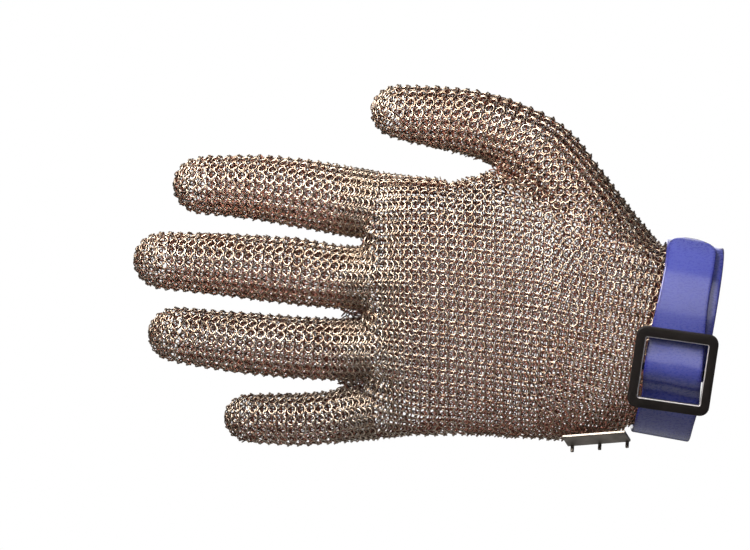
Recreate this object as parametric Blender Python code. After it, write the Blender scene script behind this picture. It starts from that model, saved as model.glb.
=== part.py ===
"""Chainmail glove for a left hand, in the form that it has when worn.

Metres, +Z up. The fingers point along -X, the thumb is up (+Z), the back of the hand faces -Y and
the palm +Y. The origin is the middle of the wrist opening, in the plane where the mail ends.

The mail is a wall as thick as the real linked rings. It is lofted limb by limb, melted into one
form, folded, hollowed, and parted where the fingers and the two faces of the hand are linked.
"""

import math
from typing import NamedTuple

import bmesh
import bpy
from mathutils import Matrix, Vector

MM = 0.001
SHARP_ANGLE = math.radians(45.0)

# Mail
MAIL_WALL = 1.8 * MM
PART_GAP = 0.4 * MM
HAND_SIDES = 48
LIMB_SIDES = 28
STEPS_PER_ROW = 4
DOME_RINGS = 5
MELT_VOXEL = 0.7 * MM
MELT_SMOOTHING = 14
LAST_SMOOTHING = 4
OUTER_FACES = 3700
INNER_FACES = 3000

# Wrist: the plane that the mail ends in, and the oval that the strap follows
WRIST_LEAN = math.radians(10.3)
WRIST_HEIGHT = 63.6 * MM
WRIST_DEPTH = 45.2 * MM
WRIST_POWER = 2.35

# Strap, a flat band that goes once round, over the buckle's bar and up over itself
STRAP_WIDTH = 20.4 * MM
STRAP_THICKNESS = 1.7 * MM
STRAP_GAP = 0.5 * MM
STRAP_CENTRE = -2.4 * MM
STRAP_STEP = 3.0 * MM
STRAP_CORNER = 0.45 * MM
STRAP_START = 2.6 * MM
OVAL_SAMPLES = 1440
TAIL_WIDTH = 17.4 * MM
TAIL_SHIFT = -1.4 * MM
TAIL_SETTLES = 28.0 * MM
TAIL_LIFT = 2.0 * MM
TAIL_CLIMB = 9.0 * MM
TAIL_BULGE = 2.1 * MM
TAIL_BULGE_REACH = 5.5 * MM
TAIL_LENGTH = 50.0 * MM
TAIL_TIP = 8.0 * MM
TAIL_TIP_END = 1.5 * MM
TAIL_TIP_STEPS = 6

# Buckle, a square slide frame with one bar across its window
BUCKLE_SIDE = 28.0 * MM
BUCKLE_WINDOW_WIDTH = 21.2 * MM
BUCKLE_WINDOW_HEIGHT = 20.8 * MM
BUCKLE_THICKNESS = 2.4 * MM
BUCKLE_CORNER = 3.2 * MM
BUCKLE_EDGE = 0.45 * MM
BUCKLE_HEIGHT = -10.0 * MM
BUCKLE_SHIFT = -1.3 * MM
BUCKLE_TURN = math.radians(2.3)
BUCKLE_UNDERSIDE = 2.4 * MM
BAR_WIDTH = 2.4 * MM
BAR_UNDERSIDE = 1.2 * MM
BAR_THICKNESS = 1.6 * MM
BAR_ROOT = 2.0 * MM

# Side plate, a steel bar with a row of bent prongs along one edge
PLATE_LENGTH = 22.5 * MM
PLATE_WIDTH = 7.2 * MM
PLATE_THICKNESS = 1.1 * MM
PLATE_EDGE = 0.25 * MM
PLATE_PLACE = Vector((-30.8, -11.6, -33.2)) * MM
PLATE_ALONG = Vector((0.945, -0.315, 0.085))
PLATE_ACROSS = Vector((-0.31, -0.83, 0.46))
PRONG_COUNT = 3
PRONG_PITCH = 9.8 * MM
PRONG_WIDTH = 1.1 * MM
PRONG_LENGTH = 2.7 * MM
PRONG_EDGE = 0.15 * MM
PRONG_THICKNESS = 0.9 * MM
PRONG_REACH = 1.2 * MM
PRONG_ROOT = 0.8 * MM


class HandSection(NamedTuple):
    """A slice of the hand across X, in millimetres. A low power is oval, a high one is boxy."""

    x: float
    z_high: float
    z_low: float
    y_back: float
    y_palm: float
    power: float


class LimbSection(NamedTuple):
    """A slice of a finger across its own middle line, in millimetres."""

    x: float
    y: float
    z: float
    width: float
    depth: float


class Fold(NamedTuple):
    """A raised (or, below zero, sunk) line across the mail, in millimetres."""

    x_from: float
    z_from: float
    x_to: float
    z_to: float
    reach: float
    height: float
    faces: str


HAND = (
    HandSection(x=12.0, z_high=30.0, z_low=-34.4, y_back=-22.4, y_palm=22.4, power=2.35),
    HandSection(x=0.0, z_high=32.1, z_low=-32.1, y_back=-22.4, y_palm=22.4, power=2.35),
    HandSection(x=-8.0, z_high=33.9, z_low=-30.7, y_back=-22.4, y_palm=22.4, power=2.35),
    HandSection(x=-17.5, z_high=38.5, z_low=-29.1, y_back=-22.4, y_palm=22.4, power=2.35),
    HandSection(x=-24.5, z_high=42.0, z_low=-32.6, y_back=-23.0, y_palm=23.9, power=2.35),
    HandSection(x=-38.0, z_high=46.5, z_low=-34.9, y_back=-20.8, y_palm=23.4, power=2.4),
    HandSection(x=-52.0, z_high=51.5, z_low=-34.2, y_back=-18.8, y_palm=21.4, power=2.5),
    HandSection(x=-61.0, z_high=58.0, z_low=-33.8, y_back=-18.0, y_palm=19.8, power=2.55),
    HandSection(x=-68.0, z_high=58.8, z_low=-33.1, y_back=-17.4, y_palm=18.6, power=2.6),
    HandSection(x=-80.0, z_high=55.4, z_low=-33.0, y_back=-16.6, y_palm=16.8, power=2.6),
    HandSection(x=-92.0, z_high=56.0, z_low=-33.0, y_back=-15.8, y_palm=15.4, power=2.6),
    HandSection(x=-101.0, z_high=56.0, z_low=-29.0, y_back=-14.2, y_palm=14.2, power=2.5),
    HandSection(x=-109.5, z_high=54.5, z_low=-24.0, y_back=-11.6, y_palm=12.4, power=2.3),
)

INDEX = (
    LimbSection(x=-84.0, y=-0.5, z=44.4, width=24.6, depth=26.0),
    LimbSection(x=-104.0, y=0.2, z=46.4, width=24.4, depth=24.6),
    LimbSection(x=-118.5, y=1.4, z=48.6, width=25.0, depth=23.4),
    LimbSection(x=-132.0, y=2.8, z=51.0, width=25.0, depth=22.6),
    LimbSection(x=-149.0, y=4.8, z=53.2, width=23.4, depth=21.4),
    LimbSection(x=-166.6, y=7.4, z=53.9, width=21.2, depth=19.6),
)

MIDDLE = (
    LimbSection(x=-84.0, y=-2.4, z=20.6, width=23.0, depth=26.4),
    LimbSection(x=-104.0, y=-2.2, z=21.2, width=23.4, depth=25.4),
    LimbSection(x=-118.5, y=-1.4, z=22.0, width=23.0, depth=24.0),
    LimbSection(x=-134.0, y=0.0, z=24.0, width=24.2, depth=23.0),
    LimbSection(x=-157.0, y=3.0, z=26.2, width=22.8, depth=21.6),
    LimbSection(x=-180.4, y=7.2, z=27.8, width=21.0, depth=19.4),
)

RING_FINGER = (
    LimbSection(x=-84.0, y=-1.8, z=-2.0, width=23.0, depth=26.0),
    LimbSection(x=-104.0, y=-1.4, z=-2.9, width=23.0, depth=24.8),
    LimbSection(x=-118.5, y=-0.4, z=-2.9, width=22.6, depth=23.4),
    LimbSection(x=-134.0, y=1.4, z=-2.2, width=22.6, depth=22.4),
    LimbSection(x=-154.0, y=4.4, z=-0.5, width=22.2, depth=21.0),
    LimbSection(x=-175.8, y=8.8, z=2.1, width=20.2, depth=18.8),
)

LITTLE = (
    LimbSection(x=-78.0, y=1.6, z=-20.4, width=22.0, depth=24.0),
    LimbSection(x=-96.0, y=2.2, z=-23.2, width=20.4, depth=22.0),
    LimbSection(x=-111.0, y=3.0, z=-24.4, width=21.2, depth=21.0),
    LimbSection(x=-121.0, y=4.0, z=-26.2, width=19.4, depth=20.0),
    LimbSection(x=-134.0, y=6.0, z=-27.3, width=19.4, depth=19.0),
    LimbSection(x=-150.5, y=9.2, z=-26.8, width=18.0, depth=17.4),
)

THUMB = (
    LimbSection(x=-11.0, y=2.0, z=24.0, width=18.0, depth=26.0),
    LimbSection(x=-23.0, y=3.4, z=35.8, width=21.4, depth=31.0),
    LimbSection(x=-38.0, y=5.2, z=51.4, width=26.4, depth=32.0),
    LimbSection(x=-49.0, y=6.8, z=64.2, width=27.4, depth=28.0),
    LimbSection(x=-61.0, y=8.2, z=71.6, width=25.0, depth=24.6),
    LimbSection(x=-73.0, y=9.4, z=75.6, width=24.0, depth=22.6),
    LimbSection(x=-85.0, y=10.6, z=77.6, width=22.6, depth=21.0),
    LimbSection(x=-98.8, y=12.0, z=79.6, width=19.8, depth=18.2),
)

FOLDS = (
    Fold(x_from=-61.0, z_from=53.5, x_to=-30.0, z_to=39.0, reach=3.4, height=1.4, faces="back"),
    Fold(x_from=-30.0, z_from=39.0, x_to=-14.0, z_to=27.0, reach=3.0, height=1.0, faces="back"),
    Fold(x_from=-114.0, z_from=-14.6, x_to=-93.0, z_to=-16.5, reach=2.0, height=-1.6, faces="back"),
    Fold(x_from=-108.0, z_from=9.2, x_to=-99.0, z_to=9.2, reach=2.2, height=-0.9, faces="back"),
    Fold(x_from=-108.0, z_from=34.2, x_to=-99.0, z_to=34.2, reach=2.2, height=-0.9, faces="back"),
)

# Where the mail is parted, as outlines seen from the back of the hand: (x, z) in millimetres
MAIL_OUTLINES = {
    "hand": (
        (20.0, -60.0), (20.0, 110.0), (-45.6, 110.0), (-68.0, 60.3), (-114.0, 61.0),
        (-114.0, 9.0), (-120.0, 9.0), (-120.0, -60.0),
    ),
    "mail_thumb": ((-46.1, 110.0), (-68.5, 60.3), (-80.0, 60.8), (-130.0, 69.0), (-130.0, 110.0)),
    "mail_index": ((-114.4, 61.0), (-114.4, 34.4), (-145.0, 38.6), (-200.0, 44.0), (-200.0, 75.0)),
    "mail_middle": ((-114.4, 34.4), (-114.4, 9.0), (-200.0, 15.5), (-200.0, 44.0), (-145.0, 38.6)),
    "mail_ring_finger": ((-120.4, 9.6), (-120.4, -15.2), (-200.0, -15.0), (-200.0, 15.5)),
    "mail_little": ((-120.4, -15.2), (-120.4, -60.0), (-200.0, -60.0), (-200.0, -15.0)),
}
MAIL_REACH = 60.0 * MM

STEEL_MAIL = {"colour": (0.42, 0.38, 0.33), "roughness": 0.35, "metallic": 1.0}
BLUE_STRAP = {"colour": (0.055, 0.06, 0.42), "roughness": 0.28, "metallic": 0.0}
BLACK_BUCKLE = {"colour": (0.018, 0.014, 0.012), "roughness": 0.4, "metallic": 0.0}
PLATE_STEEL = {"colour": (0.30, 0.29, 0.27), "roughness": 0.38, "metallic": 1.0}

ALONG_WRIST = Vector((math.cos(WRIST_LEAN), 0.0, -math.sin(WRIST_LEAN)))
UP_WRIST = Vector((math.sin(WRIST_LEAN), 0.0, math.cos(WRIST_LEAN)))


# ---------------------------------------------------------------- general helpers


def clear_scene():
    """Remove every object that the file opened with."""
    for thing in list(bpy.data.objects):
        bpy.data.objects.remove(thing, do_unlink=True)


def material(name, colour, roughness, metallic):
    """A Principled material of one finish."""
    made = bpy.data.materials.new(name)
    made.use_nodes = True
    shader = made.node_tree.nodes["Principled BSDF"]
    shader.inputs["Base Color"].default_value = (*colour, 1.0)
    shader.inputs["Roughness"].default_value = roughness
    shader.inputs["Metallic"].default_value = metallic
    return made


def add_object(name, mesh, finish=None):
    """Link a mesh as an object, with its own material and its round faces shaded smooth."""
    made = bpy.data.objects.new(name, mesh)
    bpy.context.scene.collection.objects.link(made)
    if finish:
        mesh.materials.append(material(name, **finish))
        mesh.shade_smooth()
        mesh.set_sharp_from_angle(angle=SHARP_ANGLE)
    return made


def cut(thing, operation, cutter):
    """Cut an object by another closed one."""
    modifier = thing.modifiers.new(operation.lower(), "BOOLEAN")
    modifier.operation = operation
    modifier.object = cutter
    modifier.solver = "MANIFOLD"


def mesh_of(bm, name):
    """Turn a bmesh into a mesh and free it."""
    mesh = bpy.data.meshes.new(name)
    bm.to_mesh(mesh)
    bm.free()
    return mesh


def evaluated_mesh(thing):
    """The mesh that an object's modifiers give; the object itself is removed."""
    graph = bpy.context.evaluated_depsgraph_get()
    mesh = bpy.data.meshes.new_from_object(thing.evaluated_get(graph))
    bpy.data.objects.remove(thing, do_unlink=True)
    return mesh


def smooth_step(value):
    """Rise from 0 to 1 with level ends."""
    t = min(max(value, 0.0), 1.0)
    return t * t * (3.0 - 2.0 * t)


def between_rows(rows, steps):
    """Rows along one smooth curve (Catmull-Rom) through a table's rows."""
    kind = type(rows[0])
    ends = (rows[0], *rows, rows[-1])
    made = []
    for a, b, c, d in zip(ends, ends[1:], ends[2:], ends[3:]):
        for step in range(steps):
            t = step / steps
            weights = (
                (-t + 2 * t * t - t ** 3) / 2,
                (2 - 5 * t * t + 3 * t ** 3) / 2,
                (t + 4 * t * t - 3 * t ** 3) / 2,
                (t ** 3 - t * t) / 2,
            )
            columns = zip(a, b, c, d)
            made.append(kind(*(sum(w * v for w, v in zip(weights, column)) for column in columns)))
    made.append(rows[-1])
    return made


def boxed_circle(point, power):
    """Move a point of the unit circle out to a rounder or boxier oval."""
    exponent = 2.0 / power
    return tuple(math.copysign(abs(value) ** exponent, value) for value in (point.x, point.y))


def closed_loft(bm, sides, placings):
    """Skin a row of circles, each put in its place by a function, and close both ends."""
    loops = []
    for place in placings:
        circle = bmesh.ops.create_circle(bm, segments=sides, radius=1.0)["verts"]
        for vert in circle:
            vert.co = place(vert.co.copy())
        loops.append(list({edge for vert in circle for edge in vert.link_edges}))
    for near, far in zip(loops, loops[1:]):
        bmesh.ops.bridge_loops(bm, edges=near + far)
    for end in (loops[0], loops[-1]):
        bmesh.ops.contextual_create(bm, geom=end)


# ---------------------------------------------------------------- the mail's form


def hand_placing(section):
    """The function that puts a unit circle on one slice of the hand."""

    def place(point):
        y_share, z_share = boxed_circle(point, section.power)
        y = (section.y_back + section.y_palm) / 2 + y_share * (section.y_palm - section.y_back) / 2
        z = (section.z_high + section.z_low) / 2 + z_share * (section.z_high - section.z_low) / 2
        return Vector((section.x, y, z)) * MM

    return place


def limb_placing(middle, along, width, depth):
    """The function that puts a unit circle across a finger's middle line."""
    across = along.cross(Vector((0.0, 1.0, 0.0))).normalized()
    through = across.cross(along).normalized()

    def place(point):
        return (middle + across * point.x * width / 2 + through * point.y * depth / 2) * MM

    return place


def limb_placings(rows):
    """Placings along a finger, with a round tip past its last row."""
    sections = between_rows(rows, STEPS_PER_ROW)
    middles = [Vector((row.x, row.y, row.z)) for row in sections]
    placings = []
    for i, row in enumerate(sections):
        along = (middles[min(i + 1, len(middles) - 1)] - middles[max(i - 1, 0)]).normalized()
        placings.append(limb_placing(middles[i], along, row.width, row.depth))
    for ring in range(1, DOME_RINGS + 1):
        angle = math.pi / 2 * ring / (DOME_RINGS + 0.4)
        middle = middles[-1] + along * math.sin(angle) * row.width / 2
        shrink = math.cos(angle)
        placings.append(limb_placing(middle, along, row.width * shrink, row.depth * shrink))
    return placings


def fold_offset(vert):
    """How far the folds push a point of the mail out, in metres."""
    total = 0.0
    for fold in FOLDS:
        start = Vector((fold.x_from, fold.z_from))
        run = Vector((fold.x_to, fold.z_to)) - start
        offset = Vector((vert.co.x, vert.co.z)) / MM - start
        share = min(max(offset.dot(run) / run.length_squared, 0.0), 1.0)
        distance = (offset - run * share).length
        facing = max(-vert.normal.y, 0.0) if fold.faces == "back" else 1.0
        total += facing * fold.height * math.exp(-((distance / fold.reach) ** 2)) * MM
    return total


def form_blocks():
    """The hand and its five fingers as closed lofts that run into one another."""
    bm = bmesh.new()
    closed_loft(bm, HAND_SIDES, [hand_placing(row) for row in between_rows(HAND, STEPS_PER_ROW)])
    for rows in (INDEX, MIDDLE, RING_FINGER, LITTLE, THUMB):
        closed_loft(bm, LIMB_SIDES, limb_placings(rows))
    bmesh.ops.recalc_face_normals(bm, faces=bm.faces)
    return mesh_of(bm, "form_blocks")


def melted(mesh, smoothing):
    """One even closed skin round everything in a mesh."""
    form = add_object("melted", mesh)
    melt = form.modifiers.new("melt", "REMESH")
    melt.mode = "VOXEL"
    melt.voxel_size = MELT_VOXEL
    even = form.modifiers.new("even", "SMOOTH")
    even.factor = 0.5
    even.iterations = smoothing
    return evaluated_mesh(form)


def pushed(mesh, push):
    """The mesh with each point moved along its normal by push(vert)."""
    bm = bmesh.new()
    bm.from_mesh(mesh)
    bm.normal_update()
    for vert in bm.verts:
        vert.co += vert.normal * push(vert)
    return mesh_of(bm, mesh.name)


def thinned(mesh, faces):
    """The mesh with about so many triangles."""
    form = add_object("thinned", mesh)
    thin = form.modifiers.new("thin", "DECIMATE")
    thin.ratio = faces / (2.0 * len(mesh.polygons))
    return evaluated_mesh(form)


def mail_shell():
    """The folded form less the same form one wall smaller, which leaves it open at the wrist."""
    plain = melted(form_blocks(), MELT_SMOOTHING)
    outer = melted(pushed(plain, fold_offset), LAST_SMOOTHING)
    inner = melted(pushed(outer, lambda vert: -MAIL_WALL), LAST_SMOOTHING)
    hollow = add_object("mail_hollow", thinned(inner, INNER_FACES))
    shell = add_object("mail_shell", thinned(outer, OUTER_FACES))
    wrist = add_object("past_wrist", wrist_block())
    for cutter in (hollow, wrist):
        cut(shell, "DIFFERENCE", cutter)
    mesh = evaluated_mesh(shell)
    for cutter in (hollow, wrist):
        bpy.data.objects.remove(cutter, do_unlink=True)
    return mesh


def wrist_block():
    """A block that covers everything past the plane in which the mail ends."""
    bm = bmesh.new()
    bmesh.ops.create_cube(bm, size=2.0 * MAIL_REACH)
    bmesh.ops.translate(bm, verts=bm.verts, vec=(MAIL_REACH, 0.0, 0.0))
    turn = Matrix.Rotation(WRIST_LEAN, 3, "Y")
    bmesh.ops.rotate(bm, verts=bm.verts, cent=(0.0, 0.0, 0.0), matrix=turn)
    return mesh_of(bm, "wrist_block")


def prism(name, outline, y_low, y_high):
    """A cutter: an outline in X and Z, drawn out along Y."""
    bm = bmesh.new()
    verts = [bm.verts.new((x * MM, y_low, z * MM)) for x, z in outline]
    face = bm.faces.new(verts)
    drawn = bmesh.ops.extrude_face_region(bm, geom=[face])
    moved = [item for item in drawn["geom"] if isinstance(item, bmesh.types.BMVert)]
    bmesh.ops.translate(bm, verts=moved, vec=(0.0, y_high - y_low, 0.0))
    bmesh.ops.recalc_face_normals(bm, faces=bm.faces)
    cutter = add_object(name, mesh_of(bm, name))
    cutter.hide_render = True
    cutter.display_type = "WIRE"
    return cutter


def mail_piece(name, shell, outline, y_low=-MAIL_REACH, y_high=MAIL_REACH):
    """The share of the mail inside one outline."""
    piece = add_object(name, shell.copy(), STEEL_MAIL)
    cut(piece, "INTERSECT", prism(f"{name}_outline", outline, y_low, y_high))


def build_mail():
    """The back, the palm and the five fingers."""
    shell = mail_shell()
    outlines = dict(MAIL_OUTLINES)
    hand = outlines.pop("hand")
    mail_piece("mail_back", shell, hand, y_high=-PART_GAP / 2)
    mail_piece("mail_palm", shell, hand, y_low=PART_GAP / 2)
    for name, outline in outlines.items():
        mail_piece(name, shell, outline)


# ---------------------------------------------------------------- the strap


def wrist_oval(angle, lift):
    """A point of the strap's middle surface. Angle 0 is the thumb side, 90 degrees the back."""
    grown = STRAP_GAP + STRAP_THICKNESS / 2 + lift
    up_share, back_share = boxed_circle(Vector((math.cos(angle), math.sin(angle))), WRIST_POWER)
    up = up_share * (WRIST_HEIGHT / 2 + grown)
    back = back_share * (WRIST_DEPTH / 2 + grown)
    return UP_WRIST * up + Vector((0.0, -back, 0.0)) + ALONG_WRIST * STRAP_CENTRE


def oval_table():
    """Pairs of angle and distance gone, once round the strap's first layer."""
    table = [(0.0, 0.0)]
    last = wrist_oval(0.0, 0.0)
    for i in range(1, OVAL_SAMPLES + 1):
        angle = 2.0 * math.pi * i / OVAL_SAMPLES
        point = wrist_oval(angle, 0.0)
        table.append((angle, table[-1][1] + (point - last).length))
        last = point
    return table


def read_table(table, value, from_column, to_column):
    """The entry of one column of a rising table that belongs to a value of another."""
    for row, following in zip(table, table[1:]):
        if value <= following[from_column]:
            share = (value - row[from_column]) / (following[from_column] - row[from_column])
            return row[to_column] + (following[to_column] - row[to_column]) * share
    return table[-1][to_column]


def buckle_angle():
    """The angle at which the buckle's bar crosses the back of the wrist."""
    low, high = math.pi / 2, math.pi
    while high - low > 1e-6:
        middle = (low + high) / 2
        if wrist_oval(middle, 0.0).dot(UP_WRIST) > BUCKLE_HEIGHT:
            low = middle
        else:
            high = middle
    return low


def tail_lift(past_bar):
    """Height of the strap over its first layer, by the distance past the bar."""
    climb = smooth_step((past_bar + TAIL_CLIMB) / TAIL_CLIMB) * TAIL_LIFT
    return climb + TAIL_BULGE * math.exp(-((past_bar / TAIL_BULGE_REACH) ** 2))


def tail_shift(past_bar):
    """How far the strap lies off its plane: in line with the buckle, then towards the hand."""
    in_buckle = math.exp(-((past_bar / BUCKLE_SIDE) ** 4))
    settled = smooth_step(past_bar / TAIL_SETTLES)
    in_line = BUCKLE_SHIFT - math.tan(BUCKLE_TURN) * past_bar
    return settled * TAIL_SHIFT * (1.0 - in_buckle) + in_line * in_buckle


def half_width_at(past_bar):
    """Half the strap's width, which narrows past the buckle and ends in a round tip."""
    settled = smooth_step(past_bar / TAIL_SETTLES)
    half = (STRAP_WIDTH + settled * (TAIL_WIDTH - STRAP_WIDTH)) / 2
    into_tip = max(past_bar - (TAIL_LENGTH - TAIL_TIP), 0.0) / TAIL_TIP
    return max(half * math.sqrt(1.0 - min(into_tip, 1.0) ** 2), TAIL_TIP_END)


def strap_steps(loop):
    """Distances past the bar, from the strap's hidden start to its tip, closer at the tip."""
    start = -loop - STRAP_START
    straight_end = TAIL_LENGTH - TAIL_TIP
    count = round((straight_end - start) / STRAP_STEP)
    steps = [start + (straight_end - start) * i / count for i in range(count)]
    for i in range(TAIL_TIP_STEPS + 1):
        steps.append(straight_end + TAIL_TIP * math.sin(math.pi / 2 * i / TAIL_TIP_STEPS))
    return steps


def band_placing(middle, out, half_width):
    """The function that makes a circle of eight points a flat band with broken corners."""

    def place(point):
        turned = Matrix.Rotation(math.pi / 8, 2) @ Vector((point.x, point.y))
        on_face = abs(turned.y) > abs(turned.x)
        across = half_width - (STRAP_CORNER if on_face else 0.0)
        through = STRAP_THICKNESS / 2 - (0.0 if on_face else STRAP_CORNER)
        side = ALONG_WRIST * math.copysign(across, turned.x)
        return middle + side + out * math.copysign(through, turned.y)

    return place


def build_strap():
    """One band of even thickness.

    It starts under the buckle's bar, climbs the back of the wrist, goes round the thumb side, the
    palm and the outer side, and comes back to lie over the bar and over its own first stretch.
    """
    table = oval_table()
    loop = table[-1][1]
    bar = read_table(table, buckle_angle(), 0, 1)
    steps = strap_steps(loop)
    angles = [read_table(table, (bar - step) % loop, 1, 0) for step in steps]
    middles = [wrist_oval(angle, tail_lift(step)) for angle, step in zip(angles, steps)]
    placings = []
    for i, step in enumerate(steps):
        along = middles[min(i + 1, len(steps) - 1)] - middles[max(i - 1, 0)]
        out = along.cross(ALONG_WRIST).normalized()
        middle = middles[i] + ALONG_WRIST * tail_shift(step)
        placings.append(band_placing(middle, out, half_width_at(step)))
    bm = bmesh.new()
    closed_loft(bm, 8, placings)
    bmesh.ops.recalc_face_normals(bm, faces=bm.faces)
    add_object("wrist_strap", mesh_of(bm, "wrist_strap"), BLUE_STRAP)


# ---------------------------------------------------------------- the buckle and the plate


def block_mesh(name, size, corner=0.0, corner_steps=1):
    """A block about its own centre, with the corners that run through it rounded."""
    bm = bmesh.new()
    bmesh.ops.create_cube(bm, size=1.0)
    bmesh.ops.scale(bm, verts=bm.verts, vec=size)
    if corner:
        upright = [e for e in bm.edges if abs(e.verts[0].co.z - e.verts[1].co.z) > size[2] / 2]
        bmesh.ops.bevel(
            bm, geom=upright, offset=corner, affect="EDGES", segments=corner_steps, profile=0.5
        )
    return mesh_of(bm, name)


def add_bevel(thing, width, segments):
    """Break an object's sharp edges."""
    bevel = thing.modifiers.new("edges", "BEVEL")
    bevel.width = width
    bevel.segments = segments
    bevel.limit_method = "ANGLE"
    bevel.angle_limit = SHARP_ANGLE


def frame_matrix(place, across, along):
    """A placing whose X runs across, Y along and Z out of a face."""
    x_axis = Vector(across).normalized()
    z_axis = x_axis.cross(Vector(along)).normalized()
    y_axis = z_axis.cross(x_axis)
    turn = Matrix((x_axis, y_axis, z_axis)).transposed()
    return Matrix.Translation(place) @ turn.to_4x4()


def helper(name, mesh, matrix):
    """A shape that only cuts or joins another."""
    made = add_object(name, mesh)
    made.hide_render = True
    made.display_type = "WIRE"
    made.matrix_world = matrix
    return made


def buckle_matrix():
    """The buckle's place: flat on the strap where its bar crosses it, turned a little."""
    angle = buckle_angle()
    nudge = 0.01
    up = wrist_oval(angle - nudge, 0.0) - wrist_oval(angle + nudge, 0.0)
    middle = wrist_oval(angle, 0.0) + ALONG_WRIST * BUCKLE_SHIFT
    flat = frame_matrix(middle, ALONG_WRIST, up)
    return flat @ Matrix.Rotation(BUCKLE_TURN, 4, "Z")


def build_buckle():
    """A square frame with rounded corners and a bar across the middle of its window."""
    place = buckle_matrix()
    face = (BUCKLE_SIDE, BUCKLE_SIDE, BUCKLE_THICKNESS)
    frame_mesh = block_mesh("buckle_frame", face, BUCKLE_CORNER, 4)
    frame = add_object("buckle_frame", frame_mesh, BLACK_BUCKLE)
    lift = BUCKLE_UNDERSIDE + BUCKLE_THICKNESS / 2
    frame.matrix_world = place @ Matrix.Translation((0.0, 0.0, lift))
    window_size = (BUCKLE_WINDOW_WIDTH, BUCKLE_WINDOW_HEIGHT, BUCKLE_SIDE)
    window = helper("buckle_window", block_mesh("buckle_window", window_size), place)
    bar_size = (BUCKLE_WINDOW_WIDTH + BAR_ROOT, BAR_WIDTH, BAR_THICKNESS)
    bar_lift = Matrix.Translation((0.0, 0.0, BAR_UNDERSIDE + BAR_THICKNESS / 2))
    bar = helper("buckle_bar", block_mesh("buckle_bar", bar_size), place @ bar_lift)
    cut(frame, "DIFFERENCE", window)
    cut(frame, "UNION", bar)
    add_bevel(frame, BUCKLE_EDGE, 2)


def prong_mesh():
    """A tab that leaves the plate's edge and turns down off its outer face."""
    bm = bmesh.new()
    low = -PRONG_ROOT
    profile = (
        (low, 0.0), (PRONG_REACH, 0.0), (PRONG_REACH, PRONG_LENGTH),
        (PRONG_REACH - PRONG_THICKNESS, PRONG_LENGTH),
        (PRONG_REACH - PRONG_THICKNESS, PRONG_THICKNESS), (low, PRONG_THICKNESS),
    )
    face = bm.faces.new([bm.verts.new((-PRONG_WIDTH / 2, y, z)) for y, z in profile])
    drawn = bmesh.ops.extrude_face_region(bm, geom=[face])
    moved = [item for item in drawn["geom"] if isinstance(item, bmesh.types.BMVert)]
    bmesh.ops.translate(bm, verts=moved, vec=(PRONG_WIDTH, 0.0, 0.0))
    bmesh.ops.recalc_face_normals(bm, faces=bm.faces)
    return mesh_of(bm, "prong")


def build_side_plate():
    """A flat steel bar on the outer side of the cuff, with its row of bent prongs."""
    place = frame_matrix(PLATE_PLACE, PLATE_ALONG, PLATE_ACROSS)
    plate_mesh = block_mesh("side_plate", (PLATE_LENGTH, PLATE_WIDTH, PLATE_THICKNESS))
    plate = add_object("side_plate", plate_mesh, PLATE_STEEL)
    plate.matrix_world = place
    add_bevel(plate, PLATE_EDGE, 1)
    for i in range(PRONG_COUNT):
        along = PRONG_PITCH * (i - (PRONG_COUNT - 1) / 2)
        root = Matrix.Translation((along, -PLATE_WIDTH / 2, -PRONG_THICKNESS / 2))
        turned = place @ root @ Matrix.Rotation(math.pi, 4, "Z")
        prong = helper(f"prong_{i + 1}", prong_mesh(), turned)
        add_bevel(prong, PRONG_EDGE, 1)
        cut(plate, "UNION", prong)


def main():
    """Build every piece."""
    clear_scene()
    build_mail()
    build_strap()
    build_buckle()
    build_side_plate()


main()
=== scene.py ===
"""Looks of the chainmail glove: its linked steel rings, wrist strap, slide buckle and side plate.

Metres, +Z up. The fingers point along -X, the thumb is up, the back of the hand faces -Y. The
rings are laid in the wall of the CAD mail, row by row, and each alternate course leans the other
way, as in mail where every ring is linked with four others.
"""

import logging
import math
from collections.abc import Callable, Iterator
from dataclasses import dataclass, field
from enum import Enum
from functools import cached_property

import bmesh
import bpy
import numpy as np
from mathutils import Matrix, Vector
from mathutils.bvhtree import BVHTree
from mathutils.kdtree import KDTree


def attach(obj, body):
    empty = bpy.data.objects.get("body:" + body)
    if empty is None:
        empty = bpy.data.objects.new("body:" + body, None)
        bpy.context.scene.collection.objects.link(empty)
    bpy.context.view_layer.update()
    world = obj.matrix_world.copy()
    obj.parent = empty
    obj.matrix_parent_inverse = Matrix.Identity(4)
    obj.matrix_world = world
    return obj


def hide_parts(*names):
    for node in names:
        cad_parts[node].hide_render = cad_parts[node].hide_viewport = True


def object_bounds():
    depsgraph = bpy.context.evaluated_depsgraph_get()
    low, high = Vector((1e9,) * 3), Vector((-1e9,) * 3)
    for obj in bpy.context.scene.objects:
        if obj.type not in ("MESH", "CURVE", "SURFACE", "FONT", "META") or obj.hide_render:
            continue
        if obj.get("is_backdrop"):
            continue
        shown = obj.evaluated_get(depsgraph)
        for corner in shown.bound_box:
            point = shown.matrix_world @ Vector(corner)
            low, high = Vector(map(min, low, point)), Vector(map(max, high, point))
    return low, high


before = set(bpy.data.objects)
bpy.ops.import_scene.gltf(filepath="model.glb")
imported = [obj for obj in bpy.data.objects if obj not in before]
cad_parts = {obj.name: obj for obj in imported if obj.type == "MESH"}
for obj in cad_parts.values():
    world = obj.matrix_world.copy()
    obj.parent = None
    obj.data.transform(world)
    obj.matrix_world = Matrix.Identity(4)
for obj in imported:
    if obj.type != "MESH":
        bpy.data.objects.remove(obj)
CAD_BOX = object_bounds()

log = logging.getLogger("chainmail_glove")

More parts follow.
